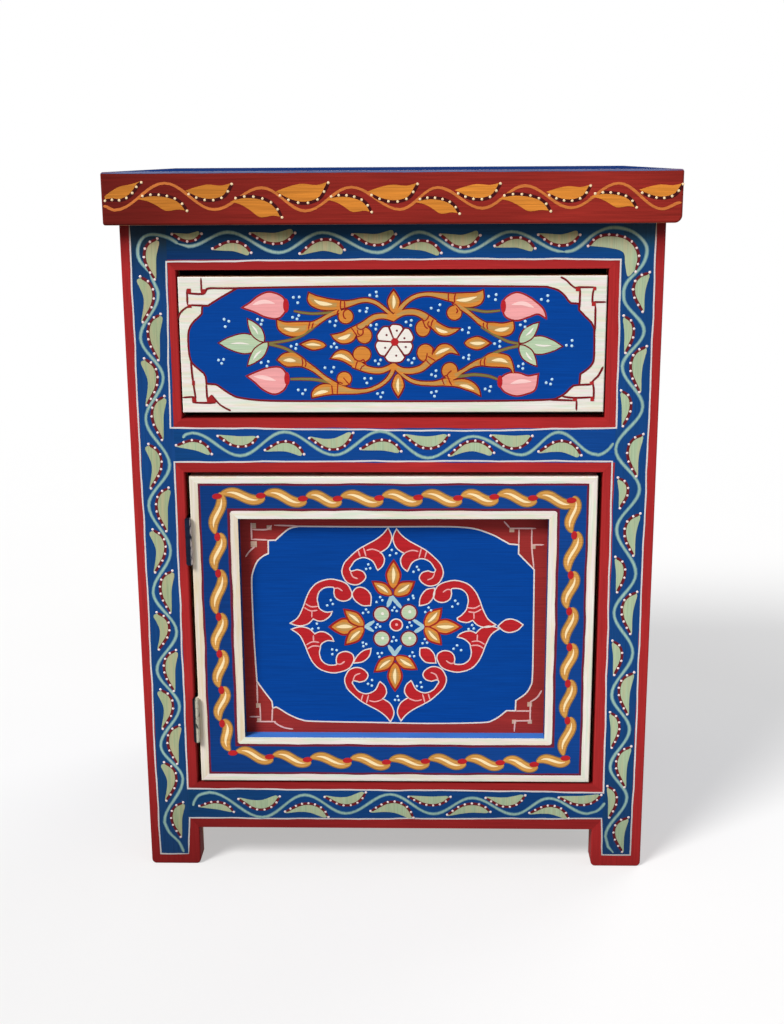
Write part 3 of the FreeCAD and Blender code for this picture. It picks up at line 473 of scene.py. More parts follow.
def moved_edge(points, distances, closed):
    """The points moved to their left by their distances, with corners kept."""
    made = []
    count = len(points)
    for i in range(count):
        before = points[i - 1] if closed or i else None
        after = points[(i + 1) % count] if closed or i < count - 1 else None
        first = edge_normal(before, points[i]) if before else edge_normal(points[i], after)
        second = edge_normal(points[i], after) if after else first
        mean = (first[0] + second[0], first[1] + second[1])
        size = math.hypot(*mean) or 1.0
        share = 1.0 / max(size / 2, 0.55)
        step = distances[i] * share / size
        made.append((points[i][0] + mean[0] * step, points[i][1] + mean[1] * step))
    return made


def grown(loop, by):
    """An outline made larger all round."""
    way = -by if area(loop) > 0 else by
    return moved_edge(loop, [way] * len(loop), True)


def edging(loop, out, inward):
    """A closed line along an outline, from so far outside to so far inside."""
    return (grown(loop, out), grown(loop, -inward), True)


def band(spine, halves, closed=False):
    """A strip along a line, from half its width at each point, as its two edges."""
    return (moved_edge(spine, halves, closed), moved_edge(spine, [-half for half in halves], closed), closed)


def run_lengths(points):
    """How far along a line each of its points lies."""
    lengths = [0.0]
    for a, b in zip(points, points[1:]):
        lengths.append(lengths[-1] + math.dist(a, b))
    return lengths


def stroke(points, width, closed=False, pointed=False):
    """A brush stroke along a line, with round or pointed ends."""
    lengths = run_lengths(points)
    total = lengths[-1] or 1.0
    halves = []
    for at in lengths:
        full = width / 2 * (1 + 0.08 * math.sin(at / 5.3 + points[0][0]))
        if closed:
            halves.append(full)
        elif pointed:
            halves.append(full * max(0.12, abs(math.sin(math.pi * at / total)) ** 0.7))
        else:
            near = min(at, total - at)
            halves.append(full * min(1.0, math.sqrt((near + 0.1 * width) / (0.6 * width))))
    return band(points, halves, closed)


def by_hand(corners, closed=False, step=9.0, sway=0.3):
    """A straight run between corners that wavers a little, as a brush does."""
    ends = corners[1:] + corners[:1] if closed else corners[1:]
    made = []
    for start, end in zip(corners, ends):
        size = math.dist(start, end)
        count = max(1, round(size / step))
        normal = edge_normal(start, end)
        for k in range(count):
            t = k / count
            phase = (start[0] + 2 * start[1] + t * size) / 13
            off = sway * math.sin(math.pi * t) * (math.sin(phase) + 0.6 * math.sin(2.7 * phase))
            made.append((start[0] + (end[0] - start[0]) * t + normal[0] * off,
                         start[1] + (end[1] - start[1]) * t + normal[1] * off))
    if not closed:
        made.append(corners[-1])
    return made


def ruled(corners, width, closed=False):
    """A painted line of straight runs."""
    return stroke(by_hand(corners, closed), width, closed)


def box_line(left, low, right, high):
    """The four corners of an upright rectangle."""
    return [(left, low), (right, low), (right, high), (left, high)]


def round_spot(u, v, radius, tall=None, turn=0.0, count=18):
    """A round or oval spot."""
    other = radius if tall is None else tall
    made = []
    for k in range(count):
        angle = 2 * math.pi * k / count
        a = radius * math.cos(angle)
        b = other * math.sin(angle)
        made.append((u + a * math.cos(turn) - b * math.sin(turn),
                     v + a * math.sin(turn) + b * math.cos(turn)))
    return made


def local(start, end):
    """A map from shares along and millimetres beside the way from start to end."""
    du = end[0] - start[0]
    dv = end[1] - start[1]
    normal = edge_normal(start, end)
    return lambda t, off: (start[0] + du * t + normal[0] * off, start[1] + dv * t + normal[1] * off)


def petal(base, tip, width, full=0.45):
    """A pointed petal from its base to its tip, widest at a share of its length."""
    at = local(base, tip)
    half = width / 2
    one = [at(0.14, 0.58 * half), at(full, half), at(0.78, 0.58 * half), at(1, 0)]
    two = [at(0.78, -0.58 * half), at(full, -half), at(0.14, -0.58 * half), at(0, 0)]
    return outline(one, two)


# Meshes
def placed(plane, u, v, height):
    """A point of space from its place on a face and its height over it."""
    origin, across, upward = plane
    return (origin + across * u + upward * v + across.cross(upward) * height) * MM


def add_patch(points, faces, plane, lift, loop):
    """A closed thin plate with this outline."""
    if area(loop) < 0:
        loop = loop[::-1]
    first = len(points)
    count = len(loop)
    points.extend(placed(plane, u, v, height) for height in (0.0, lift) for u, v in loop)
    faces.append([first + count + k for k in range(count)])
    faces.append([first + k for k in reversed(range(count))])
    for k in range(count):
        after = (k + 1) % count
        faces.append([first + k, first + after, first + count + after, first + count + k])


def add_strip(points, faces, plane, lift, strip):
    """A closed thin band between two edges."""
    left, right, closed = strip
    first = len(points)
    count = len(left)
    for l, r in zip(left, right):
        for (u, v), height in ((l, 0), (r, 0), (r, lift), (l, lift)):
            points.append(placed(plane, u, v, height))
    for k in range(count if closed else count - 1):
        here = first + 4 * k
        there = first + 4 * ((k + 1) % count)
        for side in range(4):
            other = (side + 1) % 4
            faces.append([here + other, there + other, there + side, here + side])
    if not closed:
        last = first + 4 * (count - 1)
        faces.append([first, first + 1, first + 2, first + 3])
        faces.append([last + 3, last + 2, last + 1, last])


def add_dome(points, faces, plane, lift, dome):
    """A low round drop of paint."""
    u0, v0, radius = dome["dot"]
    count = 12
    first = len(points)
    for share, height in ((1.0, 0.0), (0.94, 0.45), (0.62, 0.85)):
        for k in range(count):
            angle = 2 * math.pi * k / count
            u = u0 + radius * share * math.cos(angle)
            v = v0 + radius * share * math.sin(angle)
            points.append(placed(plane, u, v, height * lift))
    points.append(placed(plane, u0, v0, lift))
    for ring in range(2):
        low = first + ring * count
        for k in range(count):
            after = (k + 1) % count
            faces.append([low + k, low + after, low + count + after, low + count + k])
    peak = first + 3 * count
    for k in range(count):
        faces.append([first + 2 * count + k, first + 2 * count + (k + 1) % count, peak])
    faces.append([first + k for k in reversed(range(count))])


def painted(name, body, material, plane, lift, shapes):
    """One coat of one colour: outlines, strokes and dots joined in one piece that rides on a body."""
    points = []
    faces = []
    for shape in shapes:
        STROKES["count"] += 1
        height = lift + STROKE_STEP * (STROKES["count"] * GOLDEN_SHARE % 1)
        if isinstance(shape, dict):
            add_dome(points, faces, plane, height, shape)
        elif isinstance(shape, tuple):
            add_strip(points, faces, plane, height, shape)
        else:
            add_patch(points, faces, plane, height, shape)
    mesh = bpy.data.meshes.new(name)
    mesh.from_pydata([tuple(p) for p in points], [], faces)
    mesh.validate()
    mesh.materials.append(material)
    made = bpy.data.objects.new(name, mesh)
    bpy.context.scene.collection.objects.link(made)
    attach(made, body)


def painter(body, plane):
    """A function that paints coats on one face of a body."""
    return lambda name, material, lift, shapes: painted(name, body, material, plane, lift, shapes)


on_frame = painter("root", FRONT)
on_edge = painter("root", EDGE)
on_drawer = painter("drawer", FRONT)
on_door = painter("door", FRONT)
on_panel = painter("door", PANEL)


def dots(places, radius):
    """Drops of paint at the places."""
    return [{"dot": (u, v, radius)} for u, v in places]


# Vines of the front frame and of the top board's edge
def winding(turns, upright):
    """A stem that swings softly from turn to turn."""
    made = []
    steps = 9
    for (u0, v0), (u1, v1) in zip(turns, turns[1:]):
        for k in range(steps):
            t = k / steps
            ease = (1 - math.cos(math.pi * t)) / 2
            along, beside = (ease, t) if upright else (t, ease)
            made.append((u0 + (u1 - u0) * along, v0 + (v1 - v0) * beside))
    made.append(turns[-1])
    return made


# Rim of a leaf: shares along it and of its bulge
LEVEL_RIM = [(0, 0.10), (0.14, 0.44), (0.34, 0.86), (0.55, 1.0), (0.75, 0.86), (0.91, 0.46), (1, 0)]
UPRIGHT_RIM = [(0, 0.10), (0.15, 0.44), (0.36, 0.84), (0.57, 1.0), (0.77, 0.90), (0.91, 0.56), (1, 0)]


def half_leaf(start, end, bulge, shares, hook, hollow):
    """A leaf whose rim bulges to the left of its way, with a hooked end and a back that may be hollow."""
    at = local(start, end)
    rim = [at(t, share * bulge) for t, share in shares]
    turned = (0.4 * hollow - 0.6 * hook) * bulge
    back = [at(0.97, -0.9 * hook * bulge), at(0.9, -hook * bulge), at(0.78, turned), at(0.55, hollow * bulge),
            at(0.3, 0.9 * hollow * bulge), at(0.0, 0.0), rim[0]]
    return outline(rim[1:], back), smooth(rim, 6)


def beads(rim, count, before, after, off):
    """Places at even steps along a rim that run a little past both of its ends."""
    lengths = run_lengths(rim)
    made = []
    for k in range(count):
        at = -before + (lengths[-1] + before + after) * k / (count - 1)
        i = 0
        while i < len(rim) - 2 and lengths[i + 1] < at:
            i += 1
        share = (at - lengths[i]) / ((lengths[i + 1] - lengths[i]) or 1.0)
        normal = edge_normal(rim[i], rim[i + 1])
        made.append((rim[i][0] + (rim[i + 1][0] - rim[i][0]) * share + normal[0] * off,
                     rim[i][1] + (rim[i + 1][1] - rim[i][1]) * share + normal[1] * off))
    return made


LEFT_TURNS = [(-188, 504), (-204, 469), (-187, 437), (-203, 402), (-185, 364), (-204, 329), (-187.5, 290),
              (-204, 253), (-185.5, 218), (-204, 183), (-186, 150), (-204, 113), (-186, 82), (-204, 40)]
RIGHT_TURNS = [(185.2, 501), (202.5, 473.5), (186, 445), (203.7, 412), (183, 377), (203.7, 343), (186, 309),
               (203.3, 270), (186.2, 236), (203.3, 200), (186.7, 162), (203, 130), (187.5, 95),
               (203, 66), (185.5, 29)]
TOP_TURNS = [(-162, 542), (-130, 553), (-90, 536.8), (-55, 552.4), (-11, 536.5), (22, 552.4), (58, 536.8),
             (95, 552.4), (137, 536.5)]
MIDDLE_TURNS = [(-165, 390.7), (-126, 371.5), (-89, 391.5), (-48, 372), (-10, 392), (29, 369.5),
                (66, 387.6), (106, 372), (136, 391), (167, 372.4)]
LOW_TURNS = [(-163, 69), (-117, 45.5), (-79, 67), (-43, 49.5), (-4, 68), (34, 49.5), (68, 65),
             (105, 49.5), (135, 65), (169, 50.5)]
STEM_WIDTH = 2.9
BEAD_STEP = 6.2
CLOSE_BEAD_STEP = 5.6
# Where the stems bend round a corner, begin and end
LEFT_CORNER = [(-170, 544), (-178, 549), (-190, 551.5), (-198, 549), (-202.5, 541), (-201.5, 531),
               (-193, 521)]
RIGHT_CORNER = [(137, 536.5), (144, 537.6), (151, 542), (160, 550), (172, 555), (185, 554), (195, 549),
                (202, 540), (200.8, 529), (195, 520.6), (188.3, 513.6), (185.3, 507), (185.2, 501)]
LEFT_END = [(-204, 40), (-200, 30), (-192, 21), (-188, 11)]
RIGHT_END = [(188, 19), (193, 13)]
MIDDLE_START = [(-173, 386.4), (-170.6, 389.3), (-165, 390.7)]
MIDDLE_END = [(168, 371.6), (173, 373.4), (177.5, 377), (181, 382)]
LOW_START = [(-178, 56), (-176.4, 61), (-172, 66.4), (-163, 69)]
LOW_END = [(172, 51.4), (177, 53), (181, 56.6), (184, 61)]


def frame_stems(width):
    """All winding stems of the front frame."""
    left = (smooth(LEFT_CORNER, 4)[:-1] + winding([LEFT_CORNER[-1], LEFT_TURNS[0]], True)[:-1]
            + winding(LEFT_TURNS, True) + smooth(LEFT_END, 4)[1:])
    right = smooth(RIGHT_CORNER, 4)[:-1] + winding(RIGHT_TURNS, True) + RIGHT_END
    top = LEFT_CORNER[:1] + winding(TOP_TURNS, False)
    middle = smooth(MIDDLE_START, 4)[:-1] + winding(MIDDLE_TURNS, False) + smooth(MIDDLE_END, 4)[1:]
    low = smooth(LOW_START, 4)[:-1] + winding(LOW_TURNS, False) + smooth(LOW_END, 4)[1:]
    level = [stroke(way, width) for way in (top, middle, low)]
    return [stroke(left, width), stroke(right, width * 1.04)] + level


# Leaves of the upright rows: upper end and lower end
LEFT_OUTER = [(517, 483), (451, 415), (380, 345), (307, 272), (234, 203), (164, 130), (96, 62)]
LEFT_INNER = [(547, 517), (487, 452), (420, 386), (343, 308), (271, 236), (200, 165), (131, 97), (58, 27)]
RIGHT_OUTER = [(519, 490), (460, 425), (388, 355), (321, 287), (253, 218), (181, 145), (113, 77), (46, 15)]
RIGHT_INNER = [(484.5, 457), (424, 397), (351.5, 328), (283.5, 255), (209.5, 181), (144.5, 114), (75.5, 48)]
# Leaves of the level rows: left end, right end, how far the rim bulges, and the share the back follows it
TOP_UPPER = [(-173.6, 552.5, -152.6, 551.5, 5.2, 0), (-111.2, 552.9, -78, 551.8, 7.8, 0),
             (-29.8, 551.8, 2, 550.5, 8, 0), (40, 551.2, 69, 549.2, 9, 0),
             (117.5, 551, 147.8, 549.3, 8, 0)]
TOP_LOWER = [(-141.6, 539, -113.3, 537.3, 6.9, 0), (-71.8, 534.9, -38.7, 539.1, 9.1, 0.1),
             (8.6, 539.6, 38.3, 536.5, 7.1, 0), (83, 540.2, 112.6, 539.7, 7.2, 0)]
MIDDLE_UPPER = [(-142.8, 389.1, -112.5, 386.9, 8, 0), (-67.4, 387.6, -33.7, 389.8, 11.4, 0.25),
                (10.8, 389.5, 44.9, 388, 10.4, 0.1), (81.8, 389.2, 113.2, 387.3, 10, 0)]
MIDDLE_LOWER = [(-177.9, 379, -150.8, 373.6, 7.5, 0), (-104.3, 375, -74.5, 373.3, 8.7, 0.1),
                (-25.3, 376.1, 5.7, 375.6, 8.1, 0), (47.8, 370.6, 82, 374.2, 10.5, 0.25),
                (121.1, 373.5, 153.7, 372.3, 10.1, 0.15)]
LOW_UPPER = [(-136.4, 64, -102.4, 64.7, 11, 0.23), (-60.4, 66.5, -26.6, 69, 9.9, 0.25),
             (13.4, 66.8, 47.6, 65.5, 7.5, 0), (81, 66.2, 113, 67, 9.2, 0.1), (144.8, 67, 179.3, 67.9, 8, 0)]
LOW_LOWER = [(-171.4, 54.7, -143.5, 50.9, 6.4, 0), (-95.6, 49.5, -59.8, 46.5, 10.2, 0.24),
             (-20.2, 50.4, 15.2, 46.5, 12, 0.18), (47.4, 47.7, 82.7, 52, 8.6, 0.1),
             (119.4, 49.6, 151.6, 46.6, 9.2, 0.2)]
# The leaf that fills the upper right corner
CORNER_RIM = [(157, 541), (163, 547), (172, 549), (184, 547), (192, 541), (195.5, 532), (193.5, 522)]
CORNER_BACK = [(188, 517), (185.6, 526), (183.5, 536), (172, 539.5), (157, 541)]


def row_of_leaves(leaves, way, hook):
    """Leaves of a level row; their rims bulge up (way 1) or down (way -1)."""
    return [half_leaf((left, left_v), (right, right_v), way * full, LEVEL_RIM, hook, hollow)
            for left, left_v, right, right_v, full, hollow in leaves]


def upright_leaves(spans, low_u, high_u, bulge, hook, hollow=0.0):
    """Leaves of an upright row, drawn from their low ends to their blunt high ends."""
    return [half_leaf((low_u, low), (high_u, high), bulge, UPRIGHT_RIM, hook, hollow) for high, low in spans]


def frame_leaves():
    """The frame's leaves in three groups: each leaf is its outline and its dotted rim."""
    plain = (upright_leaves(LEFT_OUTER, -202.6, -201.2, -9.4, 0.34, 0.2)
             + upright_leaves(LEFT_INNER, -189, -187.4, 9, 0.24)
             + row_of_leaves(TOP_UPPER, -1, 0.42) + row_of_leaves(TOP_LOWER, 1, 0.36))
    light = (upright_leaves(RIGHT_OUTER, 202, 204.4, 10, 0.08, 0.1)
             + upright_leaves(RIGHT_INNER, 187.2, 186.4, -6.8, 0.16)
             + row_of_leaves(MIDDLE_UPPER, -1, 0.12) + row_of_leaves(MIDDLE_LOWER, 1, 0.22)
             + [(outline(CORNER_RIM[1:], CORNER_BACK), smooth(CORNER_RIM))])
    low = row_of_leaves(LOW_UPPER, -1, 0.14) + row_of_leaves(LOW_LOWER, 1, 0.12)
    return plain, light, low


def side_of(rim, loop):
    """The way from an outline's middle to its rim: 1 to the left of the rim's way, -1 to the right."""
    middle = (sum(u for u, v in loop) / len(loop), sum(v for u, v in loop) / len(loop))
    half = len(rim) // 2
    normal = edge_normal(rim[half], rim[half + 1])
    away = (rim[half][0] - middle[0], rim[half][1] - middle[1])
    return 1 if normal[0] * away[0] + normal[1] * away[1] > 0 else -1


# The blue bands: edges of the uprights, the feet's lower ends and the arch between the feet
BLUE_INNER = 182.5
BLUE_OUTER = 208.4
BLUE_FOOT = 9.5
ARCH = 44.5
# Red borders of drawer and door: low line, high line, and how much wider than their half width each is
BORDER_HALF = 173.4
BORDERS = ((523.4, 532, 0, 9), (394, 402.4, 9, 0), (357.6, 367, 0, 9), (71.5, 78.1, 9, 0), (35.6, 45.5, 0, 9))
# Pale lines round drawer, door, arch and frame
DRAWER_LINE = [(-183, 395), (-60, 393.6), (60, 392.2), (183, 394.5), (182, 530.3), (60, 531.5), (-60, 530.8),
               (-180.4, 530)]
DOOR_LINE = [(-182, 72.5), (-60, 72), (60, 72), (182.5, 70.5), (180.5, 366.5), (60, 367), (-60, 366.6),
             (-181, 366.2)]
ARCH_LINE = [(-183.8, BLUE_FOOT), (-183, 25), (-181.5, ARCH), (-60, 44.3), (60, 45), (181.5, 46), (182.5, 25),
             (183, BLUE_FOOT + 1.5), (207.8, BLUE_FOOT + 1.5), (208.8, 120), (208.4, 260), (209.3, 420),
             (209, UNDER_TOP_Z)]
REST_LINE = [(-208.6, UNDER_TOP_Z), (-209.2, 400), (-208.6, 240), (-209.6, 100), (-208.6, BLUE_FOOT),
             (-183.8, BLUE_FOOT)]
ROUND_LINE_WIDTH = 1.3
OUTER_LINE_WIDTH = 1.2


def paint_frame_grounds():
    """Blue uprights and bands with red borders between them."""
    left = [(-BLUE_OUTER, BLUE_FOOT), (-183.5, BLUE_FOOT), (-181.5, ARCH), (-179.5, UNDER_TOP_Z),
            (-BLUE_OUTER, UNDER_TOP_Z)]
    right = [(BLUE_INNER, BLUE_FOOT + 1), (207.5, BLUE_FOOT + 1), (BLUE_OUTER + 0.6, UNDER_TOP_Z),
             (BLUE_INNER, UNDER_TOP_Z)]
    borders = []
    for low, high, low_wide, high_wide in BORDERS:
        low_half = BORDER_HALF + low_wide
        high_half = BORDER_HALF + high_wide
        borders.append([(-low_half, low), (low_half, low), (high_half, high), (-high_half, high)])
    half = BLUE_INNER + 1
    top = [(-half, 531.5), (half, 530.5), (half, UNDER_TOP_Z), (-half, UNDER_TOP_Z)]
    middle = [(-half, 366), (half, 365.5), (half, 394), (-half, 395)]
    low = [(-half, ARCH), (half, ARCH + 1), (half, 70.5), (-half, 72.5)]
    on_frame("frame_blue_left_upright", blue_left, GROUND, [by_hand(left, True)])
    on_frame("frame_blue_right_upright", blue_up, GROUND, [by_hand(right, True)])
    on_frame("frame_red_borders", red_across, GROUND - 4 * HAIR, borders)
    on_frame("frame_blue_top_band", blue_top, GROUND - HAIR, [by_hand(top, True)])
    on_frame("frame_blue_bands", blue_across, GROUND - HAIR, [by_hand(middle, True), by_hand(low, True)])


# Rims of leaves: how far the dark line lies off the leaf, its width, how far the dots lie off, and how far
# they begin before the rim; they end a little past it
FRAME_RIM_SIZES = (0.6, 2.3, 0.9, 0.8)
EDGE_RIM_SIZES = (1.1, 2.6, 1.2, 0.0)
PAST_RIM = 1.2
FRAME_DOT = 1.15
EDGE_DOT = 1.1
EDGE_DOT_COUNT = 7


def paint_rims(where, name, leaves, line_paint, line_lift, dot_paint, dot_radius, sizes):
    """Dark lines beside the rims of leaves, with drops of paint along them."""
    line_off, line_width, dot_off, before = sizes
    lines = []
    drops = []
    for leaf, rim, count in leaves:
        side = side_of(rim, leaf)
        lines.append(stroke(moved_edge(rim, [line_off * side] * len(rim), False), line_width))
        drops.extend(beads(rim, count, before, PAST_RIM, dot_off * side))
    where(name + "_leaf_lines", line_paint, line_lift, lines)
    where(name + "_leaf_dots", dot_paint, DOT_HEIGHT, dots(drops, dot_radius))


def paint_frame():
    """The front frame: blue ground in its red borders, pale lines, vines, leaves and dots."""
    paint_frame_grounds()
    on_frame("frame_pale_lines", white_line, UNDER,
             [ruled(DRAWER_LINE, ROUND_LINE_WIDTH, True), ruled(DOOR_LINE, ROUND_LINE_WIDTH, True),
              ruled(ARCH_LINE, OUTER_LINE_WIDTH), ruled(REST_LINE, OUTER_LINE_WIDTH)])
    on_frame("frame_stems", stem_aqua, UNDER, frame_stems(STEM_WIDTH))
    on_frame("frame_stem_lights", stem_light, MOTIF - 2 * HAIR, frame_stems(STEM_WIDTH * 0.55))
    plain, light, low = frame_leaves()
    on_frame("frame_leaves", leaf_sage, MOTIF, [leaf for leaf, rim in plain])
    on_frame("frame_light_leaves", leaf_light, MOTIF, [leaf for leaf, rim in light + low])
    counted = []
    for leaves, step in ((plain + light, BEAD_STEP), (low, CLOSE_BEAD_STEP)):
        counted += [(leaf, rim, round(run_lengths(rim)[-1] / step) + 1) for leaf, rim in leaves]
    paint_rims(on_frame, "frame", counted, rim_brown, OVER, dot_pink, FRAME_DOT, FRAME_RIM_SIZES)


# The top board's painted edge
EDGE_TURNS = [(-226, 574), (-217, 571), (-177, 591.4), (-138.6, 571), (-101, 587.5), (-67, 569.6),
              (-31, 587.6), (7, 570.4), (36.4, 587), (71.4, 571), (104.3, 588), (140.7, 571),
              (177, 589.5), (211.4, 569.8), (226, 574.7)]
# Leaves of the edge: left end, right end, low line and how tall the leaf is against the usual
EDGE_FIRST = (-224.6, -195.8, 579, 1.0)
EDGE_UPPER = [(-161, -125.3, 579.3, 0.86), (-90, -49.8, 576.8, 1.08), (-18, 19.8, 577.5, 0.94),
              (50, 84.3, 579, 0.83), (121, 154.2, 577.5, 0.79), (193, 225.6, 579.3, 0.72)]
EDGE_LOWER = [(-199, -161.8, 570.3, 0.94), (-126, -87.1, 565, 1.24), (-50.5, -16.7, 568.7, 0.98),
              (19, 52.1, 567.1, 0.92), (84, 123.2, 568.6, 1.0), (155, 189.8, 571.2, 0.86)]
# Their upper and lower edges: shares of the length and heights over the low line
FIRST_OVER = [(0, 2.7), (0.2, 6.6), (0.42, 9.9), (0.7, 11.5), (1, 14)]
FIRST_UNDER = [(1, 14), (0.88, 11.4), (0.78, 7.3), (0.62, 3.0), (0.42, 0.7), (0.2, 1.0), (0.04, 0.5),
               (0, 0.4)]
UPPER_OVER = [(0, 7.2), (0.2, 10.0), (0.42, 12.2), (0.56, 12.5), (0.8, 11.7), (1.0, 13.6)]
UPPER_UNDER = [(1.0, 13.6), (0.93, 8.4), (0.84, 3.4), (0.68, 0.6), (0.5, 0), (0.3, 1.6), (0.12, 4.8),
               (0, 7.2)]
LOWER_OVER = [(0, 9.6), (0.12, 10.8), (0.3, 11.8), (0.48, 11.6), (0.66, 10.4), (0.81, 8.2),
              (0.92, 4.8), (1, 0.2)]
LOWER_UNDER = [(1, 0.2), (0.86, 0.9), (0.68, 0), (0.56, 0.5), (0.38, 4.8), (0.2, 8.0), (0, 9.6)]
EDGE_STEM_WIDTH = 2.1
# The pale line just under the top's front edge: a painted reflection of light along the arris
CREST_DOWN = 0.7
CREST_IN = 0.8
CREST_WIDTH = 1.1


def edge_leaf(place, shape_over, shape_under, dots_under):
    """A leaf of the edge, its dotted rim and how many dots the rim has."""
    left, right, low, tall = place
    over = [(left + (right - left) * t, low + height * tall) for t, height in shape_over]
    under = [(left + (right - left) * t, low + height * tall) for t, height in shape_under]
    rim = under[:-1] if dots_under else over[1:]
    return smooth(over)[:-1] + smooth(under)[:-1], smooth(rim, 6), EDGE_DOT_COUNT


def paint_edge():
    """The brick red front edge of the top board: orange vine, maroon rims and cream dots."""
    on_edge("edge_stem", edge_orange, UNDER, [stroke(winding(EDGE_TURNS, False), EDGE_STEM_WIDTH)])
    crest = TOP_Z - CREST_DOWN
    # The painted reflection along the arris
    worn = by_hand([(CREST_IN - TOP_HALF, crest), (TOP_HALF - CREST_IN, crest)], False, 20, 0.1)
    on_edge("edge_worn_arris", arris, GROUND, [stroke(worn, CREST_WIDTH)])
    leaves = [edge_leaf(EDGE_FIRST, FIRST_OVER, FIRST_UNDER, True)]
    leaves += [edge_leaf(place, UPPER_OVER, UPPER_UNDER, True) for place in EDGE_UPPER]
    leaves += [edge_leaf(place, LOWER_OVER, LOWER_UNDER, False) for place in EDGE_LOWER]
    on_edge("edge_leaves", edge_leaf_orange, MOTIF, [leaf for leaf, rim, count in leaves])
    paint_rims(on_edge, "edge", leaves, maroon, UNDER, dot_cream, EDGE_DOT, EDGE_RIM_SIZES)


# The top's and the sides' pale lines, and how far the sides' blue field stays off their edges
RIM_IN = 3.5
SIDE_LINE_WIDTH = 1.5
FIELD_BACK_FROM_FRONT = 30
FIELD_LOW = 52
FIELD_BEFORE_BACK = 10
FIELD_UNDER_TOP = 14


def paint_top_and_sides():
    """The top: a pale line along its rim. The sides: a blue field in a red border."""
    half = TOP_HALF - RIM_IN
    rim = by_hand(box_line(-half, EDGE_Y + RIM_IN, half, TOP_BACK - RIM_IN), True, 20)
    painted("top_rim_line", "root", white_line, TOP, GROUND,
            [stroke(rim, SIDE_LINE_WIDTH, True)])
    field = box_line(FRONT_Y + FIELD_BACK_FROM_FRONT, FIELD_LOW, SIDE_BACK - FIELD_BEFORE_BACK,
                     UNDER_TOP_Z - FIELD_UNDER_TOP)
    for name, plane, sign in (("left", LEFT, -1), ("right", RIGHT, 1)):
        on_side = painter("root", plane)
        turned = by_hand([(u * sign, v) for u, v in field], True)
        on_side(name + "_side_field", blue_up, GROUND, [turned])
        on_side(name + "_side_line", white_line, UNDER, [stroke(turned, SIDE_LINE_WIDTH, True)])


# The door's rope border
# Half widths of a twist and of its dark rim, its light stripe, and how far it swings beside its way
TWIST_HALF = 3.9
TWIST_LEAST_HALF = 0.4
TWIST_RIM = 0.9
TWIST_STRIPE_WIDTH = 2.4
TWIST_SWING = 2.4
TWIST_LEAN = 1.7
# A twist grows over its first share and rounds off over its last
GROWING_SHARE = 0.38
ROUNDING_SHARE = 0.34


def rope_piece(start, end):
    """One twist of the rope: its rim, its body and its light stripe; it starts thin and ends blunt."""
    at = local(start, end)
    steps = 20
    spine = []
    halves = []
    for k in range(steps + 1):
        t = k / steps
        spine.append(at(t, TWIST_SWING * math.sin(2 * math.pi * t) + TWIST_LEAN * (1 - 2 * t)))
        rise = math.sin(min(1.0, t / GROWING_SHARE) * math.pi / 2) ** 0.62
        fall = math.sqrt(max(0.0, 1 - (max(0.0, t - 1 + ROUNDING_SHARE) / ROUNDING_SHARE) ** 2))
        halves.append(max(TWIST_LEAST_HALF, TWIST_HALF * rise * fall))
    rim = band(spine, [half + TWIST_RIM for half in halves])
    return rim, band(spine, halves), stroke(spine[3:-3], TWIST_STRIPE_WIDTH, pointed=True)


# Knots of the rope in order along each side, to the right and upward
ROPE_TOP = [(-146.5, 337), (-110, 337.5), (-75, 335), (-46, 335), (-11.5, 335.5), (21, 336), (54, 335.5),
            (84, 336.5), (116, 335.5), (148, 333.5)]
ROPE_LOW = [(-141, 106.5), (-109, 103), (-76, 100.5), (-41, 100), (-7, 98.5), (27, 99.5), (59, 99.5),
            (92, 98.5), (121.5, 97), (148.5, 103)]
ROPE_LEFT = [(-141, 106.5), (-149.5, 134), (-149, 165), (-149.5, 198), (-149, 231.5), (-148, 270),
             (-147.5, 302), (-146.5, 337)]
ROPE_RIGHT = [(148.5, 103), (149.5, 138), (149, 172), (149.5, 205), (148.5, 237), (149, 269), (151, 303.5),
              (148, 333.5)]


def rope_row(knots):
    """Twists from each knot of a side a little past the next one."""
    made = []
    for knot, after in zip(knots, knots[1:]):
        at = local(knot, after)
        run = math.dist(knot, after)
        made.append(rope_piece(at(2.6 / run, 0.0), at(1 + 3.4 / run, -0.4)))
    return made


# Width of the cream borders on the door's rails, and how far they stay off the edges of door and panel
CREAM_WIDTH = 9
OFF_DOOR_EDGE = 1
OFF_PANEL_EDGE = 0.2
# The dark lines at the band's outer and inner edge, and how far its inner corners are cut
OUTER_DARK_WIDTH = 1.8
INNER_DARK_WIDTH = 2.1
CORNER_CUT = 6.0


def paint_door_grounds(outer, inner):
    """The door's blue band between two boxes, and its cream borders."""
    left, low, right, high = outer
    in_left, in_low, in_right, in_high = inner
    creams = []
    for edge_half, high_edge, low_edge, near, far in (
            (DOOR_HALF, DOOR_HIGH, DOOR_LOW, -OFF_DOOR_EDGE, -CREAM_WIDTH),
            (PANEL_HALF, PANEL_HIGH, PANEL_LOW, CREAM_WIDTH, OFF_PANEL_EDGE)):
        for edge, way in ((high_edge, 1), (low_edge, -1)):
            half = edge_half + near
            in_half = edge_half + far
            creams.append([(-half, edge + way * near), (half, edge + way * near),
                           (in_half, edge + way * far), (-in_half, edge + way * far)])
    rails = [box_line(left, in_high, right, high), box_line(left, low, right, in_low)]
    uprights = [box_line(left, low, in_left, high), box_line(in_right, low, right, high)]
    on_door("door_cream_rails", cream_across, GROUND - 4 * HAIR, creams)
    on_door("door_blue_rails", blue_door, GROUND, [by_hand(rail, True) for rail in rails])
    on_door("door_blue_uprights", blue_door, GROUND - HAIR, [by_hand(upright, True) for upright in uprights])


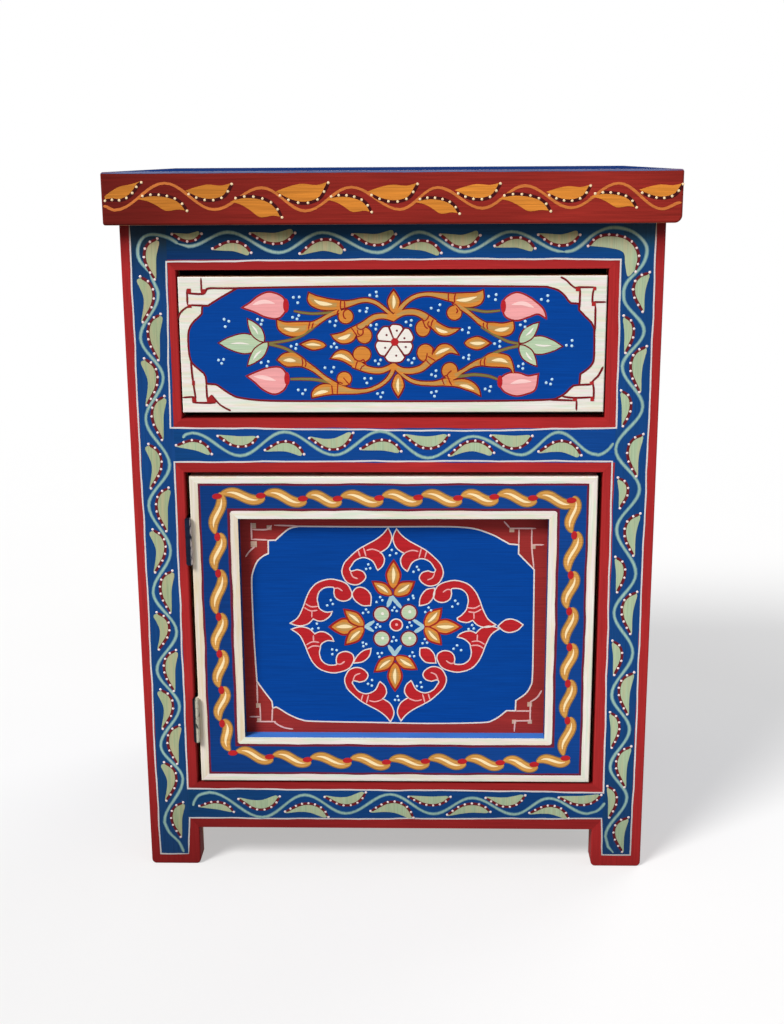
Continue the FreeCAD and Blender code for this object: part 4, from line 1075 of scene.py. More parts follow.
def paint_door_border():
    """The door's frame: cream borders, a blue band, dark red lines and an orange rope with red knots."""
    outer = (-DOOR_HALF + 8, DOOR_LOW + 7.5, DOOR_HALF - 8, DOOR_HIGH - 6.5)
    inner = (-PANEL_HALF - 7.6, PANEL_LOW - 7.2, PANEL_HALF + 7.6, PANEL_HIGH + 8)
    paint_door_grounds(outer, inner)
    lines = [ruled(box_line(*outer), OUTER_DARK_WIDTH, True), ruled(box_line(*inner), INNER_DARK_WIDTH, True)]
    left, low, right, high = inner
    cut = CORNER_CUT
    for u, v, way, rise in ((left, high, cut, -cut), (right, high, -cut, -cut), (left, low, cut, cut),
                            (right, low, -cut, cut)):
        lines.append(outline([(u + way, v)], [(u + way * 0.3, v + rise * 0.3), (u, v + rise)], [(u, v)]))
    on_door("door_dark_lines", border_line, UNDER, lines)
    pieces = rope_row(ROPE_TOP) + rope_row(ROPE_LOW) + rope_row(ROPE_LEFT) + rope_row(ROPE_RIGHT)
    spots = [round_spot(u, v, 4.2, 2.4, 0.08) for u, v in ROPE_TOP + ROPE_LOW]
    spots += [round_spot(u, v, 2.5, 3.7) for u, v in ROPE_LEFT[1:-1] + ROPE_RIGHT[1:-1]]
    on_door("rope_rims", rope_rim, UNDER, [rim for rim, body, stripe in pieces])
    on_door("rope_twists", rope_ochre, MOTIF, [body for rim, body, stripe in pieces])
    on_door("rope_stripes", highlight, OVER, [stripe for rim, body, stripe in pieces])
    on_door("rope_knots", scroll_red, LAST, spots)


# The sunk panel
MEDALLION_MIDDLE = 219
FORK_REACH = 9


def quadrant(points, flip_u, flip_v, shift, fork_move):
    """A point list of the upper left quarter, moved to another quarter of the medallion."""
    made = []
    for u, v in points:
        share = max(0.0, 1 - math.dist((u, v), FORK_TIP) / FORK_REACH)
        u += fork_move[0] * share
        v += fork_move[1] * share
        new_u = -u if flip_u else u
        new_v = 2 * MEDALLION_MIDDLE - v if flip_v else v
        made.append((new_u + shift[0], new_v + shift[1]))
    return made


# The upright and the level scroll of the upper left quarter, each in four stretches from corner to corner
TALL_SCROLL = [
    [(-8.8, 301.4), (-15, 296.4), (-23.8, 291.4), (-30, 287.6), (-36.3, 282), (-41.9, 275.8), (-44.1, 268.9),
     (-43.1, 263.9), (-40, 258.9), (-35, 256.6), (-30, 257), (-25.6, 260.1), (-23.8, 263.9), (-26.3, 268.3),
     (-31.3, 269.9)],
    [(-36, 268.6), (-37.6, 270.5), (-36.9, 272), (-33.1, 277.6), (-27.5, 280.5), (-22.5, 280.1), (-17.5, 277),
     (-14.4, 270.8), (-13.4, 269.5)],
    [(-9.4, 273.3), (-7.8, 278.9), (-9.4, 283.3), (-11.3, 285.1)],
    [(-5, 289.5), (-1.9, 295.8), (-1.9, 300.8), (-4.6, 306.8)]]
TALL_LINES = [[(-30, 287), (-28.4, 281.4)], [(-25.6, 290), (-23.4, 281.4)],
              [(-23, 287), (-17.5, 288), (-11.3, 285.8)], [(-30.5, 261.8), (-35, 263.9), (-37, 269)]]
FORK_TIP = (-53.1, 232.3)
LONG_SCROLL = [
    [(-82.5, 227), (-78.1, 235.8), (-75, 244.5), (-71.3, 252), (-65, 258.3), (-55, 261.4), (-46.3, 260.1),
     (-40, 257), (-36.9, 252), (-35.9, 248.3), (-36.9, 244.5), (-41.3, 242), (-46.3, 242.4), (-50, 245.1),
     (-51.3, 249.5)],
    [(-51, 253), (-52.5, 254.3), (-58.8, 253.9), (-63.8, 250.1), (-65.6, 243.9), (-65, 239.5), (-63.8, 235.1),
     (-58.8, 232), FORK_TIP],
    [(-55, 228.3), (-60, 224.5), (-65, 223.9), (-69.4, 225.8)],
    [(-73.8, 221.4), (-80, 219.5), (-85, 220.1), (-89.4, 221.8)]]
LONG_LINES = [[(-76, 239.6), (-71, 236.8), (-65, 237.2)], [(-77, 236), (-71.5, 233), (-65.6, 233.6)],
              [(-70.4, 233), (-70.6, 227)], [(-51, 253), (-47.5, 253.4), (-43.8, 250.8)]]
# Each quarter: mirrored across, mirrored upright, its shift, and how far its long fork's tip is moved
QUARTERS = [(False, False, (0, 0), (0, 0)), (True, False, (-2, -1), (-3.2, -4.3)),
            (False, True, (1, 0), (0, 0)), (True, True, (1, 1), (-0.4, -2.8))]
# The red drops between the scrolls and at the right tip
RED_DROPS = [
    [[(-27, 238), (-33.6, 243), (-35.4, 249), (-31, 254), (-24.5, 253), (-19.6, 247), (-20, 238)]],
    [[(22.6, 245), (27.5, 252), (34.6, 253.6)], [(34.4, 247), (29.5, 240), (21.9, 237.8)]],
    [[(-32, 192), (-26.5, 197), (-20, 199)], [(-21.4, 192.5), (-27, 187), (-35.6, 185.6)]],
    [[(22.4, 192.5), (27.5, 186.6), (36, 185.9)], [(34.6, 193.6), (29.5, 199.4), (22.4, 199.4)]],
    [[(94.5, 224.6), (100, 226), (105.5, 224.4), (110.6, 220.8)],
     [(106, 216), (100, 214), (94.5, 215), (89.2, 219.6)]]]


# The scrolls' white rim, outward and inward, and the width of their thin lines
SCROLL_RIM = (0.55, 0.45)
SCROLL_LINE_WIDTH = 1.1


def paint_scrolls():
    """Four pairs of red scrolls with white outlines, and the red drops between them."""
    shapes = []
    lines = []
    for quarter in QUARTERS:
        for scroll in (TALL_SCROLL, LONG_SCROLL):
            shapes.append(outline(*[quadrant(stretch, *quarter) for stretch in scroll]))
        for line in TALL_LINES + LONG_LINES:
            lines.append(stroke(smooth(quadrant(line, *quarter), 4), SCROLL_LINE_WIDTH))
    shapes += [outline(*drop) for drop in RED_DROPS]
    on_panel("scroll_fills", scroll_red, UNDER, shapes)
    on_panel("scroll_rims", outline_white, MOTIF, [edging(shape, *SCROLL_RIM) for shape in shapes])
    on_panel("scroll_lines", scroll_line, OVER, lines)


def petal_coats(name, where, petals, lift, halo, edge):
    """Orange petals in four coats: halo, fill, shaded heart and light stripe; widths are the fill's."""
    halos = []
    fills = []
    hearts = []
    stripes = []
    for base, tip, width in petals:
        at = local(base, tip)
        halos.append(petal(base, tip, width + 2 * edge, 0.48))
        fills.append(petal(at(0.05, 0), at(0.89, 0), width, 0.50))
        hearts.append(petal(at(0.18, 0), at(0.80, 0), width * 0.64, 0.50))
        way = smooth([at(0.22, 0.3), at(0.48, -0.3), at(0.73, 0.3)])
        stripes.append(stroke(way, width * 0.26, pointed=True))
    where(name + "_halos", halo, lift, halos)
    where(name + "_fills", orange, lift + 3 * HAIR, fills)
    where(name + "_hearts", ochre, lift + 6 * HAIR, hearts)
    where(name + "_stripes", highlight, lift + 9 * HAIR, stripes)


# Lilies: middle petals and side petals, each as base, tip and width
LILY_MIDDLES = [((-0.6, 252), (0, 279.4), 10.4), ((-30, 219), (-56.8, 218.5), 13),
                ((30.5, 219), (59, 218.9), 11.4), ((0.6, 187), (0.6, 159), 10.4)]
LILY_SIDES = [((-1, 247), (-19, 260), 8.2), ((-0.4, 247), (18.4, 259.8), 10.6),
              ((-25.4, 219), (-43.6, 235), 9.2), ((-25.6, 219), (-43, 201.6), 9.4),
              ((26, 219), (41.4, 236.2), 9.8), ((26, 219), (41.2, 202), 9.4),
              ((0.6, 192), (-18, 177), 9.2), ((0.6, 192), (20.4, 179.6), 9.4)]


def paint_lilies():
    """Four orange lilies round the middle of the panel."""
    petal_coats("lily_middle", on_panel, LILY_MIDDLES, UNDER, halo_red, 1.7)
    petal_coats("lily_side", on_panel, LILY_SIDES, UNDER + 13 * HAIR, halo_red, 1.6)


# The star in the medallion's middle
STAR_MIDDLE = (1.9, 220.5)
STAR_RING_RADIUS = 5.9
STAR_RED_RADIUS = 4.8
CHEVRON_WIDTH = 3.4
STAR_DISCS = [(-10.6, 230.1), (12.8, 231.8), (-10.6, 208), (12.8, 208)]
STAR_CHEVRONS = [[(-5.6, 236.4), (-1.9, 246), (6.9, 235.1)], [(-16.9, 223.9), (-24, 218.9), (-17.5, 214.5)],
                 [(15.6, 225.8), (25.3, 218.9), (16.9, 213.3)], [(-5, 202), (0.3, 193.5), (6.3, 202)]]


def paint_middle_star():
    """The star in the panel's middle: ring, four pale discs and four light blue chevrons."""
    on_panel("star_chevrons", chevron_blue, UNDER,
             [stroke(by_hand(way, False, 4, 0), CHEVRON_WIDTH) for way in STAR_CHEVRONS])
    for name, material, lift, radius in (("disc_rims", rim_brown, MOTIF, 7.7),
                                         ("disc_lines", knot_line, OVER, 6.4),
                                         ("discs", pale_sage, LAST, 5.8)):
        on_panel("star_" + name, material, lift, [round_spot(u, v, radius) for u, v in STAR_DISCS])
    on_panel("star_disc_lights", petal_white, LAST + 4 * HAIR,
             [round_spot(u + 0.8, v + 0.6, 1.3) for u, v in STAR_DISCS])
    on_panel("star_ring", outline_white, MOTIF, [round_spot(*STAR_MIDDLE, STAR_RING_RADIUS)])
    on_panel("star_middle", scroll_red, OVER, [round_spot(*STAR_MIDDLE, STAR_RED_RADIUS)])
    on_panel("star_eye", pink, LAST, [round_spot(2.2, 220.8, 1.2)])


# Light blue dots, in groups of three
PANEL_TRIPLETS = [
    (-1.5, 287.3), (-3.1, 282.6), (2.3, 284.3), (-21.5, 274.5), (-23.4, 270.5), (-19.9, 271.1),
    (19.8, 272.4), (16.9, 268), (21.3, 269.8), (-54, 242.6), (-57.1, 237.9), (-52.3, 239.1),
    (-66.3, 221.4), (-70.3, 216.6), (-65, 217.3), (-53.5, 197.9), (-49.6, 197.3), (-53.4, 193.6),
    (-11.6, 245.4), (-14.8, 241), (-9.8, 242.6), (-23.8, 234.3), (-26.5, 231.1), (-21.9, 231.8),
    (16.3, 246.6), (16.9, 244.5), (12.5, 243.3), (29.8, 236.1), (26.9, 232), (31.9, 233.6),
    (0.4, 236.1), (-1.3, 233.5), (2.5, 232.9), (-14.1, 220.8), (-15.4, 218), (-11.9, 218.9),
    (13.5, 222.6), (11.5, 218.3), (15, 219.8), (-0.4, 209.3), (-1.8, 205.5), (1.9, 206.3),
    (-14.1, 194.5), (-10.6, 194.8), (-12.8, 191.3), (-26.9, 204.3), (-24, 202.9), (-26.5, 201),
    (15.9, 195.5), (13.5, 192), (17.3, 192), (26.5, 207.6), (24.6, 203.8), (28.5, 204.3),
    (-19.3, 169.9), (-22.8, 166.4), (-19.5, 164.8), (22.9, 168), (19.6, 164.5), (23.8, 163.6),
    (2.8, 155.1), (0.6, 151.6), (3.8, 151.4), (52.5, 242.3), (54.8, 239.5), (50, 237),
    (67.1, 220.4), (64.1, 216.8), (68.5, 217.3), (54.3, 202), (51.3, 198.9), (57.8, 197.6)]


PANEL_FIELD = outline(
    [(-20, 307.6), (40, 307.8), (61, 307), (72, 305), (84, 300.5), (92.5, 295.8), (98, 292.6)],
    [(105.8, 292)], [(105.8, 284)], [(119.2, 270)],
    [(119.5, 220), (119.5, 174), (117.8, 164.5), (113.5, 157.5), (105.5, 151.5)],
    [(105.3, 142)], [(97.5, 142)],
    [(92.5, 137.5), (86, 133.2), (76, 130.8), (30, 129.8), (-20, 130.6), (-70, 131.4), (-82, 133), (-93, 138),
     (-100, 142.8), (-103.5, 144.6)],
    [(-106.4, 143.6)], [(-107, 150)],
    [(-113, 158.5), (-119.6, 168.5)],
    [(-121, 210), (-121.5, 256), (-120.3, 267), (-116.5, 276.5), (-111.5, 281.5), (-106.5, 284)],
    [(-106.3, 295.6)], [(-100, 295.8)],
    [(-94.5, 301), (-88, 306), (-80, 308)])
# Knots in the panel's corners: their lines, and their patches as middle and half size
PANEL_KNOTS = [
    [(-80, 308.3), (-101, 309)], [(-120.3, 311), (-120.3, 296)],
    [(-120.5, 305.3), (-107, 305.3), (-103, 309)],
    [(-121, 296.6), (-106.3, 296)], [(-118, 290), (-122.5, 286), (-126, 281)],
    [(-119.6, 168), (-119.6, 148)], [(-117.5, 147), (-117.5, 131)], [(-127, 135.5), (-118, 135.5)],
    [(-121, 131), (-104, 131)], [(-106.6, 144), (-107.5, 131)],
    [(-106, 131), (-101, 127.3), (-95.5, 125), (-89, 124)],
    [(98, 306.3), (120, 306.3)], [(105.8, 306), (105.8, 292)], [(116.6, 306), (116.8, 290), (119, 271)],
    [(117, 292), (127, 292)], [(93, 312.5), (98, 306.8)],
    [(105, 141.8), (119.3, 141.8)], [(103.5, 132.5), (119, 132.8)], [(118.2, 151), (118.2, 131)],
    [(105, 132.5), (104.6, 122.5)], [(118.5, 150.5), (124, 154.5), (127.8, 161)]]
PANEL_PATCHES = [
    (-118.6, 292.3, 2.6), (-118.6, 308.5, 2.3), (-105.2, 306.8, 2.0), (-119, 146, 2.0), (-118.6, 132.2, 1.8),
    (99.8, 305, 2.0), (118, 290.3, 1.9), (117.6, 148, 2.0), (118, 131.8, 1.8), (104.3, 131.8, 1.8)]
FIELD_LINE = (0.6, 0.6)
PANEL_KNOT_WIDTH = 1.25
PANEL_DOT = 1.15


def patch(u, v, half, half_high=None):
    """A small box of paint round a place."""
    tall = half if half_high is None else half_high
    return by_hand(box_line(u - half, v - tall, u + half, v + tall), True, 3, 0.05)


def paint_panel():
    """The sunk panel: blue field in a red border, a white line and knotted corner lines."""
    on_panel("panel_blue_field", blue_field, GROUND, [PANEL_FIELD])
    on_panel("panel_field_line", outline_white, UNDER, [edging(PANEL_FIELD, *FIELD_LINE)])
    on_panel("panel_knot_lines", knot_line, OVER,
             [stroke(smooth(line, 4), PANEL_KNOT_WIDTH) for line in PANEL_KNOTS])
    on_panel("panel_knot_patches", knot_patch, MOTIF, [patch(*place) for place in PANEL_PATCHES])
    paint_scrolls()
    paint_lilies()
    paint_middle_star()
    on_panel("panel_dots", dot_blue, DOT_HEIGHT, dots(PANEL_TRIPLETS, PANEL_DOT))


# The drawer front
def heart(over, under):
    """The shaded middle of a leaf: both of its edges drawn in toward each other."""
    one = beads(smooth(over, 6), 11, 0, 0, 0)
    two = beads(smooth([over[-1], *under][::-1], 6), 11, 0, 0, 0)
    drawn = []
    for near, far in ((one, two), (two, one)):
        drawn.append([(a + 0.27 * (c - a), b + 0.27 * (d - b)) for (a, b), (c, d) in zip(near, far)][1:-1])
    return drawn[0] + drawn[1][::-1]


# Leaves of the arabesque: the upper edge from collar to tip, and the lower edge from there to the collar
DRAWER_LEAVES = [
    ([(-41.2, 498.4), (-46, 499), (-52, 500), (-60, 502), (-66.4, 504.6)],
     [(-67.4, 499.6), (-65.4, 495.6), (-60, 492.6), (-54, 491.3), (-47, 491.2), (-41.6, 492.2)]),
    ([(-66, 481.2), (-70, 481.4), (-80, 481.2), (-86.1, 481.2), (-92.5, 483)],
     [(-91.7, 476.4), (-86.1, 471.8), (-78.3, 470.1), (-71.7, 471.8), (-67, 475.6)]),
    ([(-71.4, 445.6), (-77.2, 446), (-86.1, 446), (-93, 451)],
     [(-88.3, 455.5), (-80.6, 456.8), (-74, 453.3), (-71, 450.6)]),
    ([(-49, 423), (-55, 422.2), (-60, 421.2), (-65.3, 420)],
     [(-65.4, 423.6), (-63, 427.4), (-58, 430.4), (-53, 431), (-49.2, 430.2)]),
    ([(-31.4, 476), (-35, 475.6), (-39, 473.2), (-44, 471.8), (-48.6, 471)],
     [(-47, 468.4), (-44, 466), (-40, 464.4), (-35, 465), (-31, 467.4), (-29.2, 471)]),
    ([(-30.2, 445), (-34, 446.8), (-39, 449.8), (-44, 451.4), (-49.4, 452.2)],
     [(-46, 456.4), (-42, 458.4), (-38, 458.2), (-34.5, 456.4), (-31.8, 453), (-29.4, 449)]),
    ([(50.6, 503.8), (56, 504), (62.2, 504.2), (67.5, 504.4), (73, 506.2)],
     [(73.4, 500.6), (71.2, 496.2), (66, 493.8), (60, 493.2), (55, 494.4), (50.4, 497)]),
    ([(74.6, 480.4), (82, 480.4), (88.9, 479.8), (97.3, 481.4)],
     [(97.8, 475.3), (94.4, 471.2), (87.8, 470), (81.1, 472.2), (75, 476.4)]),
    ([(73.4, 451.4), (78, 455), (82, 456), (86.7, 455.6), (94.4, 453.1), (97.8, 445.3), (98.5, 438.5)],
     [(95.6, 443.8), (88.9, 445), (80, 445.4), (73.6, 446.2)]),
    ([(47.6, 433.4), (54, 434.6), (60, 434.4), (66, 431.6), (70, 427), (71.5, 421.6)],
     [(66, 424.5), (60, 426.6), (54, 428.6), (48.4, 429.6)]),
    ([(33.4, 482.8), (38, 480), (42, 477.8), (47, 476), (54, 475.8)],
     [(50, 472.8), (45, 470.8), (40, 470.8), (36, 473), (32, 477)]),
    ([(34, 457), (38, 462), (43, 463.3), (47.5, 461.8), (50.5, 458.8), (53.4, 455.2)],
     [(48, 456.6), (44, 455.6), (39, 452.2), (34.6, 450.2)])]
# Their light stripes
DRAWER_STRIPES = [
    [(-62.4, 499.2), (-57, 496.6), (-47.8, 495.6)], [(-87.2, 476.7), (-80.6, 475.3), (-75, 476.2)],
    [(-88.3, 450.6), (-83, 450.8), (-78.3, 450)], [(-64, 422.2), (-58.5, 424.4), (-52.4, 425.2)],
    [(-43.8, 468.2), (-38.4, 469), (-33.6, 471.6)], [(-48, 453), (-41.5, 454.2), (-33, 449.6)],
    [(51.6, 498.6), (60, 499), (68.2, 501.4)], [(82.5, 474.6), (88.9, 475), (94.4, 476.6)],
    [(80.5, 450), (87.8, 450.6), (93.4, 448.4)], [(54.6, 430), (60.5, 429), (66.6, 426.4)],
    [(35.4, 476.8), (39.4, 474), (45, 473)], [(35.2, 455.2), (40, 457.8), (46.4, 460)]]
# Stems and tendrils carry their width at each place, and curls are told by middle and half sizes
DRAWER_STEMS = [
    [(1.6, 485, 3.2), (-3, 489.4, 2.3), (-8, 493.6, 2.4), (-13, 496.9, 2.5), (-19, 498.8, 2.7),
     (-25, 498.6, 3.0), (-31, 497.1, 3.6), (-36.5, 495.8, 4.8), (-42, 495.4, 6.0)],
    [(-41, 491, 3.4), (-47, 488.6, 2.8), (-52, 486.2, 2.6), (-57, 483.2, 3.0), (-62, 480.2, 4.0),
     (-67.6, 478, 5.4)],
    [(-46, 430, 4.2), (-50, 432.8, 3.4), (-55, 436.2, 3.0), (-60, 440.2, 3.0), (-65, 444, 3.6),
     (-72, 448, 5.2)],
    [(1.5, 446, 3.0), (0, 441, 2.8), (-2, 437.4, 2.7), (-5, 433.8, 2.5), (-10, 430, 2.5), (-15, 427.5, 2.5),
     (-20, 425.9, 2.5), (-25, 425.2, 2.8), (-30, 425, 3.4), (-35, 425.4, 4.4), (-40, 426.2, 6.2),
     (-45, 427, 8.0), (-50, 426.6, 7.2)],
    [(2, 484, 4.2), (-4, 485.8, 3.8), (-9, 486.2, 3.8), (-14, 485.2, 4.0), (-18, 482.8, 4.2),
     (-22, 479.6, 4.8), (-28, 475.6, 6.2), (-32, 473, 7.4)],
    [(1, 446, 4.0), (-3, 444.2, 3.6), (-8, 442.2, 4.0), (-13, 441.9, 4.3), (-18, 442.6, 4.6),
     (-22, 443.8, 5.0), (-26, 445.8, 6.2), (-31, 448.4, 7.6)],
    [(2, 485, 4.0), (6, 491, 3.4), (10, 495.8, 3.0), (15, 499.8, 2.7), (20, 502.2, 2.6), (25, 503.3, 2.5),
     (30, 503.5, 2.7), (35, 503, 3.3), (40, 502.2, 4.3), (45, 501.3, 5.4), (51, 500.4, 6.4)],
    [(50, 497, 3.6), (53, 494.6, 3.6), (57, 492, 3.0), (62, 488.4, 2.6), (67, 484.2, 2.8), (71, 481, 3.6),
     (76, 478.2, 4.0)],
    [(47, 437, 6.4), (51, 438, 5.0), (55, 440.3, 2.8), (60, 443.3, 2.6), (65, 446.3, 3.2), (70, 448.2, 4.6),
     (75, 449, 5.0)],
    [(3, 444, 2.6), (8, 439, 2.2), (12, 435.9, 2.4), (17, 433.2, 2.6), (23, 431.8, 2.7), (29, 431.4, 2.9),
     (35, 431.4, 3.4), (40, 432.2, 4.5), (44, 432.6, 5.8), (49, 432, 5.0)],
    [(0, 483.5, 4.0), (4, 486.5, 4.2), (9, 488.8, 4.2), (15, 489.5, 4.4), (20, 488.8, 4.4), (25, 486.6, 4.8),
     (29, 483.6, 5.6), (34, 479.6, 6.4)],
    [(0, 447, 4.0), (4, 444, 4.0), (8, 442.2, 4.2), (13, 441.6, 4.3), (18, 442.1, 4.5), (23, 443.6, 4.7),
     (27, 446.4, 4.8), (31, 450.4, 5.6), (35.4, 454, 6.6)]]
DRAWER_TENDRILS = [
    [(-46, 489.4, 2.0), (-55, 488.7, 1.9), (-63.9, 488.3, 1.8), (-72.8, 489.2, 1.6), (-79, 490.5, 1.0)],
    [(-49, 432.2, 2.4), (-57, 433.8, 2.3), (-65, 435, 2.2), (-75, 435.3, 2.0), (-83, 435.2, 1.6)],
    [(57, 492.2, 2.0), (65, 491.2, 1.9), (75.6, 489.4, 1.8), (87, 490.4, 1.4)],
    [(51, 437, 2.6), (58, 437.6, 2.4), (66.7, 438.6, 2.3), (77.8, 437.4, 2.0), (86, 434.6, 1.6)],
    [(-60, 480.6, 1.8), (-66, 475, 1.8), (-75, 469.6, 1.9), (-86.1, 466.4, 1.9), (-101, 464.4, 1.8)],
    [(-101, 464, 1.8), (-90.6, 461.6, 2.0), (-82.8, 458.3, 2.2), (-75, 452.4, 2.6), (-68, 447, 2.8)],
    [(72, 477.6, 2.4), (80, 472.4, 2.0), (85.6, 469.2, 1.9), (94.4, 465.2, 1.9), (105, 463.2, 1.8)],
    [(105, 462.2, 1.8), (94.4, 460.2, 2.0), (84.4, 456.8, 2.2), (75.6, 452.2, 2.6), (70, 449, 2.8)]]
DRAWER_CURLS = [
    (-37.2, 486, 5.7, 5.5), (-39, 435.4, 5.6, 5.4), (-22.4, 470.6, 5.8, 6.2), (-24.4, 455.4, 6.9, 6.2),
    (50.2, 488.6, 5.7, 5.5), (46.6, 441.8, 6.1, 6.4), (24.9, 476.2, 5.5, 6.3), (27, 456.4, 6.5, 6.8)]
# Dark lines: collars across the stems and the hooks that curl into the discs
DRAWER_HOOKS = [
    [(-41, 498.6), (-41.4, 495), (-41.2, 491.8)], [(-38.2, 498.2), (-37.8, 495), (-38.2, 491.6)],
    [(-35.6, 491.8), (-38.2, 490.4), (-39.2, 487.6), (-38.4, 485), (-37, 484.2)],
    [(-42.6, 491.2), (-43.8, 489.4), (-44, 487)],
    [(-66.2, 481.8), (-67.6, 475.6)], [(-63.4, 481.2), (-64.8, 476.4)],
    [(-73.4, 452.4), (-72.6, 449), (-73.2, 445.8)], [(-70.6, 450.8), (-70, 447.6), (-70.8, 445.2)],
    [(-49.4, 430.2), (-49, 426.4), (-48.8, 422.8)], [(-44.4, 432), (-44.6, 427.6), (-45, 423)],
    [(-45.4, 433.2), (-43, 432.6), (-40.2, 431.4)],
    [(-39.8, 436.4), (-38, 434.2), (-36.2, 432), (-33.6, 429.6)],
    [(-28.4, 479.4), (-27.8, 476.6), (-25, 475.5), (-22.4, 476.6), (-20.4, 478.8)],
    [(-33, 477), (-30.8, 474), (-28.6, 470.8)], [(-27.8, 475.4), (-27.6, 472.4), (-26, 471.2)],
    [(-23.4, 475.6), (-23.4, 472.6), (-24.8, 470.8), (-28.6, 469.4)],
    [(-31.2, 452.6), (-28.2, 450.2), (-25.4, 450), (-23.4, 451), (-22, 449), (-21, 446.4)],
    [(-22.4, 446.4), (-24.6, 445.2), (-25.8, 442.6)], [(-28.2, 449.6), (-29.4, 446.6), (-29.8, 443.8)],
    [(45.4, 504.2), (45.2, 501.4), (45.6, 498.2)], [(51, 503.8), (50.2, 500.4), (50.4, 496.6)],
    [(47.6, 496.4), (51, 495.2), (53.6, 492.8), (55.4, 490)], [(51.8, 492.4), (52.8, 490), (51.6, 488.4)],
    [(73.8, 480.8), (73.4, 478.4), (74.4, 475.8)], [(77, 480.4), (76.4, 478), (77.2, 475.2)],
    [(72.2, 451), (71.4, 448.4), (71.8, 445.6)], [(75.4, 452.8), (74.6, 449.4), (75, 446)],
    [(40.4, 436.6), (41, 433.4), (42.4, 430.2)], [(45.6, 436), (46.6, 433), (48.4, 429.8)],
    [(48.2, 442), (46, 440.2), (44.6, 438), (45.8, 435.6)], [(41, 437), (43, 437.6), (44.6, 438.2)],
    [(23.4, 483.4), (26, 482.2), (28.6, 484), (29.8, 487.2)],
    [(24.8, 482.4), (26, 479.4), (27, 477.2), (29, 476)],
    [(30, 482), (28.8, 479.6), (29.8, 477.2), (31.8, 475.4)], [(33.4, 483.4), (32, 480.8), (31.6, 478)],
    [(28.4, 456.4), (28, 453.4), (27, 450.6), (25, 448.8)], [(33.6, 461), (32.8, 457.8), (32.4, 454.8)],
    [(28.8, 453.6), (32, 451.8), (35, 450)], [(27.6, 450.4), (29.4, 448.4), (31.6, 446.4)]]


# Dark rims of stems (both sides together), of tendrils, leaves and curls, and other widths
STEM_RIM = 2.1
TENDRIL_RIM = 0.9
LEAF_RIM = 1.15
CURL_RIM = 1.05
LEAF_STRIPE_WIDTH = 2.8
HOOK_WIDTH = 0.95
STEM_HEART_SHARE = 0.58


def tapered(places, more=0.0):
    """A brush stroke through places that carry their own width."""
    way = smooth(places, 5)
    return band([(u, v) for u, v, width in way], [(width + more) / 2 for u, v, width in way])


def paint_arabesque():
    """Orange stems, curls and leaves with dark red rims between the flower and the tulips."""
    leaves = [outline(over[1:], under, over[:1]) for over, under in DRAWER_LEAVES]
    curls = [round_spot(u, v, a, b) for u, v, a, b in DRAWER_CURLS]
    rims = ([tapered(way, STEM_RIM) for way in DRAWER_STEMS] + [grown(leaf, LEAF_RIM) for leaf in leaves]
            + [grown(curl, CURL_RIM) for curl in curls])
    on_drawer("tendril_rims", rim_brown, UNDER - 2 * HAIR,
              [tapered(way, TENDRIL_RIM) for way in DRAWER_TENDRILS])
    on_drawer("tendrils", olive, UNDER + 2 * HAIR, [tapered(way) for way in DRAWER_TENDRILS])
    on_drawer("arabesque_rims", dark_red, UNDER, rims)
    on_drawer("arabesque_stems", orange, MOTIF, [tapered(way) for way in DRAWER_STEMS] + curls)
    on_drawer("arabesque_stem_hearts", ochre, MOTIF + 3 * HAIR,
              [tapered([(u, v, STEM_HEART_SHARE * width) for u, v, width in way[1:-1]])
               for way in DRAWER_STEMS])
    on_drawer("arabesque_leaves", orange, MOTIF + 2 * HAIR, leaves)
    on_drawer("arabesque_leaf_hearts", ochre, MOTIF + 5 * HAIR,
              [heart(over, under) for over, under in DRAWER_LEAVES])
    on_drawer("arabesque_stripes", highlight, OVER + 3 * HAIR,
              [stroke(smooth(way, 5), LEAF_STRIPE_WIDTH, pointed=True) for way in DRAWER_STRIPES])
    on_drawer("arabesque_hooks", halo_red, OVER + 4 * HAIR,
              [stroke(smooth(way, 4), HOOK_WIDTH) for way in DRAWER_HOOKS])


# Pink buds: the upper edge from tip to base and the lower edge back; their light stripes; their red bases
BUDS = [
    ([(-114, 496.6), (-107, 502), (-98.3, 505), (-88.5, 501.5), (-85, 495)],
     [(-87, 489.5), (-92.5, 485), (-102, 486.4), (-110.6, 490.4), (-119.4, 493.4)]),
    ([(-110.4, 440.6), (-101, 443.8), (-90.6, 443.9), (-85.2, 436)],
     [(-88.4, 427.5), (-96.1, 423.5), (-105, 427), (-111.6, 433), (-117.4, 437.6)]),
    ([(121.6, 490), (117.8, 494.4), (109.5, 500.6), (100, 504), (91.4, 499.8), (88.8, 493.6)],
     [(91.7, 485.8), (100, 482.9), (109, 485.4), (117, 488), (123.2, 484.8)]),
    ([(110, 436.9), (103, 439.2), (95.6, 439.4), (90, 436.8), (86.8, 432.6)],
     [(91, 425.5), (100, 421.8), (109, 423.3), (115.8, 427), (117.6, 438.2)])]
BUD_STRIPES = [[(-112, 495.5), (-103, 498), (-94, 496.5)], [(-113, 437.5), (-104, 436.5), (-95, 434)],
               [(114, 492.5), (105, 496), (96, 495)], [(113, 432.8), (104, 433), (96, 431)]]
BUD_BASES = [(-85.2, 494.8, 2.3, 5.6), (-85.8, 435.6, 2.2, 5.4), (89.4, 493.8, 2.1, 5.4),
             (87.4, 432.8, 2.1, 5.0)]
# Tulips: base, tip and width of each petal, the middle one first
TULIPS = [
    ((-103, 463.8), (-139.8, 464.8), 15.4), ((-104, 466), (-116, 483.5), 8.6),
    ((-101, 465), (-117, 446.8), 8.6),
    ((104, 463.2), (136.6, 461.4), 14), ((103, 464.5), (117.6, 480.2), 9),
    ((103.2, 462.2), (116.6, 446), 9)]


